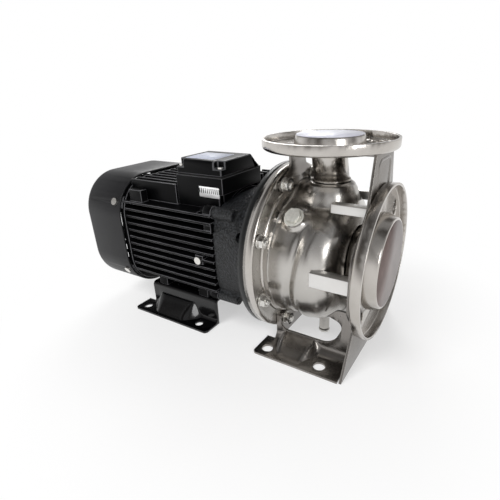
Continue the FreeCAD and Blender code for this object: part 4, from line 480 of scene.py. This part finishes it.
def pressed_casing():
    """The casing's blended skin, with its crease pressed in and its shoulder made to flow."""
    piece = blended("volute_casing", voxel=1.5, passes=10)
    bpy.context.view_layer.update()
    skin = bpy.data.meshes.new_from_object(piece.evaluated_get(bpy.context.evaluated_depsgraph_get()))
    piece.modifiers.clear()
    shape = bmesh.new()
    shape.from_mesh(skin)
    for point in shape.verts:
        point.co = casing_crease(point.co.copy())
    shoulder = [point for point in shape.verts if in_shoulder(point.co)]
    for _ in range(SHOULDER_PASSES):
        bmesh.ops.smooth_vert(shape, verts=shoulder, factor=0.5, use_axis_x=True, use_axis_y=True,
                              use_axis_z=True)
    shape.to_mesh(skin)
    shape.free()
    piece.data = skin


def flange_rings():
    """The casing flange's turned-back rim, the lantern's rim behind it, and the land inside the nuts."""
    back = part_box("volute_casing")[0].x / MM
    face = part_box("casing_washers")[0].x / MM
    rim = spun([
        (back + 0.1, 104.2), (back + 0.1, 105.95), (face - 2.4, 105.95), (face - 1.2, 105.6),
        (face - 0.3, 104.9), (face + 0.3, 103.9), (face + 0.3, 103.3), (face - 0.2, 103.1),
        (face - 0.4, 103.1)])
    piece_of("casing_flange_rim", rim, SPUN_SHAFT)
    lantern_rim = spun([
        (back - 7.5, 103.0), (back - 7.5, 105.0), (back - 6.6, 105.9), (back - 0.8, 105.9),
        (back - 0.2, 105.3), (back - 0.2, 103.0)])
    piece_of("lantern_flange_rim", lantern_rim, RIM_PAINT)
    land = spun([
        (face - 0.3, 66.8), (face + 2.0, 66.8), (face + 2.0, 84.6), (face + 1.6, 85.9),
        (face + 0.6, 86.5), (face + 0.1, 86.9), (face - 0.3, 86.9)])
    piece_of("casing_flange_land", land, SPUN_SHAFT)


def filling_plug():
    """The plug's hexagon head, as wide as in the photograph, with its corners turned off to a dome.

    Above the seat's face, what lies outside the inner radius is widened, and the head is lowered."""
    inner_radius, seat_face, head_from = 6, 0.4, 1.0
    wider, flatter, turned_off, near = 1.28, 0.4, 1.8, 0.1
    low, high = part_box("plug_washer")
    seat = (low + high) / 2
    out = Vector((0, seat.y, seat.z)).normalized()
    shape = clean_copy("filling_plug")
    for point in shape.verts:
        along = (point.co - seat).dot(out)
        radial = point.co - seat - out * along
        if along > seat_face * MM:
            widened = wider if radial.length > inner_radius * MM else 1.0
            lowered = along - flatter * max(0.0, along - head_from * MM)
            point.co = seat + out * lowered + radial * widened
    top = max((point.co - seat).dot(out) for point in shape.verts)
    corners = [point for point in shape.verts if (point.co - seat).dot(out) > top - near * MM]
    bmesh.ops.bevel(shape, geom=corners, offset=turned_off * MM, segments=2, profile=0.5,
                    affect="VERTICES", material=-1)
    round_edges(stand_in("filling_plug", shape), width=0.6, corner=25, segments=3)


def casing_nuts():
    """The nuts round the casing, with the chamfer that a lathe leaves on their outer corners.

    A corner to chamfer lies in the outer face, at the end of an edge as long as the nut is high."""
    long_edge, chamfer, near = 3.25, 1.3, 0.05
    shape = clean_copy("casing_nuts")
    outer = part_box("casing_nuts")[1].x
    corners = [
        point for point in shape.verts
        if abs(point.co.x - outer) < near * MM and len(point.link_edges) >= 3
        and any(edge.calc_length() > long_edge * MM for edge in point.link_edges)]
    bmesh.ops.bevel(shape, geom=corners, offset=chamfer * MM, segments=1, profile=0.5,
                    affect="VERTICES", material=-1)
    round_edges(stand_in("casing_nuts", shape), width=0.25, corner=40)


# The two ports and the yoke

def trimmed_pipe(name, upright):
    """A pipe end drawn back by a third of a millimetre, to lie under the film on its port."""
    trimmed = 0.35
    axis = 2 if upright else 0
    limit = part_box(name)[1][axis] - trimmed * MM
    shape = clean_copy(name)
    for point in shape.verts:
        point.co[axis] = min(point.co[axis], limit)
    stand_in(name, shape)


def collars():
    """The two machined collars; their faces lie under the films."""
    stand_in("suction_collar", spun([
        (-14.5, 38.0), (-0.3, 38.0), (-0.3, 52.2), (-0.8, 53.0), (-1.8, 53.6), (-13.2, 57.2),
        (-14.5, 57.5)]))
    stand_in("discharge_collar", spun([
        (128.5, 20.0), (139.7, 20.0), (139.7, 36.8), (139.2, 37.6), (138.2, 38.1), (129.5, 39.9),
        (128.5, 40.0)], upright=True))


def port_films():
    """The thin protective films over the two raised faces.

    The upper one's edge wanders by up to 3%, as on film cut by hand, in waves about 2 cm long."""
    film_steps, steady_radius, wander, wander_pitch = 96, 30, 0.03, 60
    for name, like, upright, edge, finish in (
            ("suction_film", "suction_collar", False, 50.5, SHADED_BORE_FILM),
            ("discharge_film", "discharge_collar", True, 37.5, CLEAR_FILM)):
        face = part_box(like)[1][2 if upright else 0] / MM
        under, over = face - 0.3, face - 0.05
        shape = spun([(under, 0.0), (under, edge), (over, edge), (over, 0.0)], upright, film_steps)
        for point in shape.verts:
            if upright and math.hypot(point.co.x - NECK_X, point.co.y) > steady_radius * MM:
                wider = 1 + wander * noise.noise(point.co * wander_pitch)
                point.co.x = NECK_X + (point.co.x - NECK_X) * wider
                point.co.y = point.co.y * wider
        piece_of(name, shape, finish)


def weld_bead():
    """The bead that joins the neck to the casing, with the ripples of a hand-laid weld.

    The ripples are 4 mm apart, coarser than real, so that they show."""
    ring_radius, bead_radius, set_off, above = 21, 1.5, 9, 0.5
    ripples, ripple_height, unevenness, uneven_pitch = 34, 0.3, 0.4, 300
    shape = bmesh.new()
    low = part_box("discharge_neck")[0]
    centre = Vector((NECK_X, set_off * MM, low.z + above * MM))
    profile = bmesh.ops.create_circle(shape, segments=10, radius=bead_radius * MM)["verts"]
    spot = Matrix.Translation(centre + Vector((ring_radius * MM, 0, 0)))
    bmesh.ops.transform(shape, matrix=spot @ Matrix.Rotation(math.pi / 2, 4, "X"), verts=profile)
    bmesh.ops.spin(shape, geom=shape.verts[:] + shape.edges[:], cent=centre, axis=(0, 0, 1),
                   angle=2 * math.pi, steps=120, use_merge=True)
    bmesh.ops.remove_doubles(shape, verts=shape.verts, dist=SAME_SPUN_POINT)
    for point in shape.verts:
        angle = math.atan2(point.co.y - centre.y, point.co.x - centre.x)
        ripple = ripple_height * MM * math.sin(ripples * angle)
        point.co.z += ripple + unevenness * MM * noise.noise(point.co * uneven_pitch)
    bmesh.ops.recalc_face_normals(shape, faces=shape.faces)
    piece_of("neck_weld", shape, WELD)


def yoke_bead():
    """The stiffening bead pressed round the yoke's upper part, proud of its front face."""
    half_wide, low, high, corner, corner_steps = 21 * MM, 80 * MM, 117 * MM, 9 * MM, 6
    section = ((-2.4, 0.0), (-1.2, 0.9), (0.0, 1.2), (1.2, 0.9), (2.4, 0.0))
    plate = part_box("front_yoke")[1].x
    centre = Vector((0, (low + high) / 2))
    path = []
    for side, middle, start in ((1, high - corner, 0), (-1, high - corner, 90),
                                (-1, low + corner, 180), (1, low + corner, 270)):
        for step in range(corner_steps + 1):
            angle = math.radians(start + step * 90 / corner_steps)
            path.append(Vector((side * (half_wide - corner) + corner * math.cos(angle),
                                middle + corner * math.sin(angle))))
    shape = bmesh.new()
    lines = []
    for inset, proud in section:
        spots = [spot + (spot - centre).normalized() * inset * MM for spot in path]
        ring = [shape.verts.new((plate + proud * MM, spot.x, spot.y)) for spot in spots]
        lines.append([shape.edges.new(pair) for pair in zip(ring, ring[1:] + ring[:1])])
    for first, second in zip(lines, lines[1:]):
        bmesh.ops.bridge_loops(shape, edges=first + second)
    bmesh.ops.recalc_face_normals(shape, faces=shape.faces)
    piece_of("yoke_bead", shape, ROLLED_SHEET)


# The two feet

# The radius of the flanges' corners, the spacing of the cuts across a foot, and the cuts along its bend
FOOT_CORNER = 5
FOOT_GRID = 2.5
BEND_CUTS = 8


def fold_share(x, holes, reach):
    """How far the fold swings out at x: 1 midway between the bolt holes, 0 beside them."""
    flat_share = 0.45
    span = abs(x - sum(holes) / 2) / reach
    if span >= 1:
        return 0.0
    return 0.5 * (1 + math.cos(math.pi * max(0.0, span - flat_share) / (1 - flat_share)))


def is_flange_corner(edge, low, high):
    """True for an upright edge at an outer corner of the foot's flanges."""
    near = 0.1 * MM
    at_corner = all(
        min(point.co.x - low.x, high.x - point.co.x) < near and high.y - abs(point.co.y) < near
        for point in edge.verts)
    return at_corner and abs(edge.verts[0].co.z - edge.verts[1].co.z) > MM


def foot_grid(name, wall, bend):
    """A foot's copy with rounded flange corners, cut finely across and in its bends, to be swept."""
    shape = clean_copy(name)
    low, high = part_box(name)
    corners = [edge for edge in shape.edges if is_flange_corner(edge, low, high)]
    bmesh.ops.bevel(shape, geom=corners, offset=FOOT_CORNER * MM, segments=4, profile=0.5,
                    affect="EDGES", material=-1)
    cuts = [((low.x + step * FOOT_GRID * MM, 0, 0), (1, 0, 0))
            for step in range(1, int((high.x - low.x) / (FOOT_GRID * MM)))]
    cuts += [((0, side * (wall + bend * step / BEND_CUTS) * MM, 0), (0, 1, 0))
             for side in (1, -1) for step in range(BEND_CUTS + 1)]
    for place, direction in cuts:
        bmesh.ops.bisect_plane(shape, geom=shape.verts[:] + shape.edges[:] + shape.faces[:],
                               dist=SAME_POINT, plane_co=place, plane_no=direction)
    return shape


def swept_foot(name, wall, bend, sheet, holes, reach, far_edge, rise):
    """A foot whose wall is pressed out between its bolt holes, down to a tight fold in the flange.

    Wall is how far the wall stands from the middle, bend the radius of its bend, sheet its thickness
    and far_edge where the fold ends. The bend, from the wall to its near edge, is drawn out to the
    fold and bulged by rise. Reach is half the length of the fold. Steepness is how fast the bulge
    grows along the foot, roundness how full it is, and play takes in points on the very edge."""
    steepness, roundness, play = 1.6, 1.3, 0.05
    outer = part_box(name)[1].y / MM
    near_edge = wall + bend
    shape = foot_grid(name, wall, bend)
    for point in shape.verts:
        y = abs(point.co.y) / MM
        z = (point.co.z - FLOOR_Z) / MM
        swing = fold_share(point.co.x / MM, holes, reach)
        if swing == 0 or y < wall - play or z > sheet + bend + play:
            continue
        fold = near_edge + (far_edge - near_edge) * swing
        if y < near_edge:
            share = max(0.0, (y - wall) / bend)
            moved = wall + (fold - wall) * share
        else:
            share = 1.0
            moved = fold + (outer - fold) * (y - near_edge) / (outer - near_edge)
        old = bend - math.sqrt(max(0.0, bend ** 2 - max(0.0, near_edge - y) ** 2))
        bulge = rise * (1 - share ** roundness)
        point.co.z += min(1.0, steepness * swing) * (bulge - old) * MM
        point.co.y = math.copysign(moved * MM, point.co.y)
    round_edges(stand_in(name, shape), width=0.4, corner=40)


# The terminal box's papers

def sticker():
    """A small white sticker with plain bars on the near side of the terminal box."""
    along, above_shaft, thickness = -206.5, 75, 0.15
    bars_low, bars_high = 0.0735, 0.0795
    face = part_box("terminal_box")[0].y
    spot = Matrix.Translation((along * MM, face - thickness * MM, above_shaft * MM))
    shape = rounded_card(spot @ Matrix.Rotation(math.pi / 2, 4, "X"), width=31, height=13, corner=1.5,
                         lift=(0, thickness * MM, 0))
    piece_of("box_sticker", shape, barred_paper("paper sticker printed", bars_low, bars_high))


def lid_label():
    """The bare label on top of the terminal box's lid."""
    along, aside, sunk, thickness = -226, -31, 0.05, 0.2
    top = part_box("terminal_box_lid")[1].z
    spot = Matrix.Translation((along * MM, aside * MM, top - sunk * MM))
    shape = rounded_card(spot, width=46, height=42, corner=3, lift=(0, 0, thickness * MM))
    piece_of("lid_label", shape, LABEL_FILM)


# Floor, world and lamps

def studio_floor():
    """A matt white floor that keeps the pump's shadow and turns to plain white away from it.

    Half of what is seen is plain white under the pump, and all of it from 38 cm off. The mottle of
    20 cm is too faint to see as a pattern and keeps the white from looking flat."""
    size, below, mottle_width = 12, 0.0002, 0.2
    glow_near, glow_far, reach_near, reach_far, centre_shift = 0.5, 1.0, 0.16, 0.38, 0.1
    bpy.ops.mesh.primitive_plane_add(size=size, location=(NECK_X, 0, FLOOR_Z - below))
    floor = bpy.context.object
    floor.name = "studio_floor"
    material, tree, place = new_finish("floor matt white")
    mottle = add(tree, "ShaderNodeTexNoise", {
        "Vector": place, "Scale": 1 / mottle_width, "Detail": 2, "Roughness": FINE_SHARE})
    tone = add(tree, "ShaderNodeValToRGB", {"Fac": (mottle, "Fac")},
               stops=((COMMON_LOW, "#f9f9f9"), (COMMON_HIGH, "#fcfcfc")))
    shader = add(tree, "ShaderNodeBsdfPrincipled", {
        "Base Color": (tone, "Color"), "Roughness": 0.9, "Specular IOR Level": 0.1})
    path = add(tree, "ShaderNodeLightPath")
    seen = add(tree, "ShaderNodeMath", {0: (path, "Is Camera Ray"), 1: (path, "Is Glossy Ray")},
               operation="MAXIMUM")
    offset = add(tree, "ShaderNodeVectorMath", {0: place, 1: (centre_shift, 0, 0)}, operation="ADD")
    far = add(tree, "ShaderNodeVectorMath", {0: (offset, "Vector")}, operation="LENGTH")
    open_floor = add(tree, "ShaderNodeMapRange", {
        "Value": (far, "Value"), "From Min": reach_near, "From Max": reach_far,
        "To Min": glow_near, "To Max": glow_far})
    share = add(tree, "ShaderNodeMath", {0: (seen, "Value"), 1: (open_floor, "Result")},
                operation="MULTIPLY")
    white = add(tree, "ShaderNodeEmission", {"Color": (1, 1, 1, 1), "Strength": 1.0})
    both = add(tree, "ShaderNodeMixShader", {
        0: (share, "Value"), 1: (shader, "BSDF"), 2: (white, "Emission")})
    add(tree, "ShaderNodeOutputMaterial", {"Surface": (both, "Shader")})
    floor.data.materials.append(material)


def studio_world():
    """A white backdrop for the camera, and for the metal tall soft panels over a white band.

    The band lies along the horizon, and the panels grow darker towards the top."""
    panel_shape, panel_dark, panel_light = (2.6, 2.6, 0.7), 0.4, 0.6
    world = bpy.data.worlds.new("studio")
    scene.world = world
    world.use_nodes = True
    tree = world.node_tree
    tree.nodes.clear()
    path = add(tree, "ShaderNodeLightPath")
    seen = add(tree, "ShaderNodeMath", {0: (path, "Is Camera Ray"), 1: (path, "Is Transmission Ray")},
               operation="MAXIMUM")
    place = add(tree, "ShaderNodeTexCoord")
    parts = add(tree, "ShaderNodeSeparateXYZ", {"Vector": (place, "Generated")})
    tall = add(tree, "ShaderNodeMapping", {"Vector": (place, "Generated"), "Scale": panel_shape})
    panels = add(tree, "ShaderNodeTexNoise", {"Vector": (tall, "Vector"), "Scale": 1.0, "Detail": 1.0})
    room = add(tree, "ShaderNodeValToRGB", {"Fac": (panels, "Fac")},
               stops=((panel_dark, "#6b6662"), (panel_light, "#f8f8f9")))
    dimmed = add(tree, "ShaderNodeMapRange", {
        "Value": (parts, "Z"), "From Min": 0.1, "From Max": 0.8, "To Min": 1.0, "To Max": 0.35})
    level = add(tree, "ShaderNodeMixRGB", {
        "Fac": 1.0, "Color1": (room, "Color"), "Color2": (dimmed, "Result")}, blend_type="MULTIPLY")
    band = add(tree, "ShaderNodeMapRange", {
        "Value": (parts, "Z"), "From Min": 0.05, "From Max": 0.3, "To Min": 0.8, "To Max": 0.0})
    mirrored = add(tree, "ShaderNodeMath", {0: (path, "Is Glossy Ray"), 1: (band, "Result")},
                   operation="MULTIPLY")
    whiteness = add(tree, "ShaderNodeMath", {0: (seen, "Value"), 1: (mirrored, "Value")},
                    operation="MAXIMUM")
    backdrop = add(tree, "ShaderNodeMixRGB", {
        "Fac": (whiteness, "Value"), "Color1": (level, "Color"), "Color2": (1, 1, 1, 1)})
    light = add(tree, "ShaderNodeBackground", {"Color": (backdrop, "Color"), "Strength": 1.0})
    add(tree, "ShaderNodeOutputWorld", {"Surface": (light, "Background")})


def studio_lamps():
    """Three square soft lamps; the key lamp's hard outline is kept out of the metal's reflections."""
    middle = Vector((-0.2, 0, 0))
    for name, spot, watts, width, mirrored in (
            ("key", (-0.6, -1.3, 1.5), 26, 0.9, False),
            ("fill", (1.4, -0.9, 0.7), 8, 0.6, True),
            ("back", (-0.9, 1.2, 1.1), 14, 0.8, True)):
        lamp = bpy.data.lights.new(name, "AREA")
        lamp.energy = watts
        lamp.size = width
        softbox = bpy.data.objects.new(name, lamp)
        softbox.visible_glossy = mirrored
        softbox.location = spot
        softbox.rotation_euler = (Vector(spot) - middle).to_track_quat("Z", "Y").to_euler()
        scene.collection.objects.link(softbox)


# The camera of the photograph, worked out from the flange rims and the feet
CAMERA_PLACE = Vector((88.52, -405.64, 188.19)) * MM
CAMERA_AZIMUTH = math.radians(32.50)
CAMERA_PITCH = math.radians(24.48)
CAMERA_ROLL = math.radians(1.95)
FOCAL_PIXELS = 379.02
FRAME_PIXELS = 500
CENTRE_PIXEL = (265.0, 259.59)
SENSOR_WIDTH = 36


def photo_camera():
    """Place the camera as the photograph was taken."""
    az, pitch = CAMERA_AZIMUTH, CAMERA_PITCH
    back = Vector((math.sin(az) * math.cos(pitch), -math.cos(az) * math.cos(pitch), math.sin(pitch)))
    right = Vector((math.cos(az), math.sin(az), 0))
    up = back.cross(right)
    turn = Matrix((right, up, back)).transposed() @ Matrix.Rotation(-CAMERA_ROLL, 3, "Z")
    lens = bpy.data.cameras.new("photo")
    lens.sensor_width = SENSOR_WIDTH
    lens.lens = FOCAL_PIXELS / FRAME_PIXELS * SENSOR_WIDTH
    lens.shift_x = (FRAME_PIXELS / 2 - CENTRE_PIXEL[0]) / FRAME_PIXELS
    lens.shift_y = (CENTRE_PIXEL[1] - FRAME_PIXELS / 2) / FRAME_PIXELS
    lens.clip_start = 0.01
    camera = bpy.data.objects.new("photo", lens)
    camera.matrix_world = Matrix.Translation(CAMERA_PLACE) @ turn.to_4x4()
    scene.collection.objects.link(camera)
    scene.camera = camera


# Putting it together

studio_floor()
studio_world()
studio_lamps()
photo_camera()

pressed_casing()
blended("lantern", voxel=1.6, passes=3)
flange_rings()
filling_plug()
trimmed_pipe("suction_pipe", upright=False)
trimmed_pipe("discharge_neck", upright=True)
collars()
port_films()
weld_bead()
yoke_bead()
swept_foot("pump_foot", wall=54, bend=12, sheet=3, holes=(-55.5, -119.5), reach=29, far_edge=86, rise=14)
swept_foot("motor_foot", wall=66, bend=6, sheet=3, holes=(-231.5, -331.5), reach=46, far_edge=88, rise=22)

# How wide each node's edges are rounded, in millimetres
for name, width in (("suction_flange", 0.3), ("discharge_flange", 0.3), ("front_yoke", 0.5),
                    ("rear_bracket", 0.5), ("flange_struts", 0.6), ("casing_washers", 0.3),
                    ("drain_plug", 0.5), ("plug_washer", 0.3)):
    dressed(name, width)
# These castings and the lid below get a grey painted highlight on their rounded edges
for name in ("motor_housing", "terminal_box", "rear_end_shield"):
    dressed(name, 0.7, edge_highlight=EDGE_HIGHLIGHT_PAINT)
dressed("terminal_box_lid", 1.5, segments=3, edge_highlight=EDGE_HIGHLIGHT_PAINT)
dressed("fan_cover", 0.6)
casing_nuts()
dressed("casing_studs", 0.6)
sticker()
lid_label()
scene.view_settings.view_transform = "Standard"
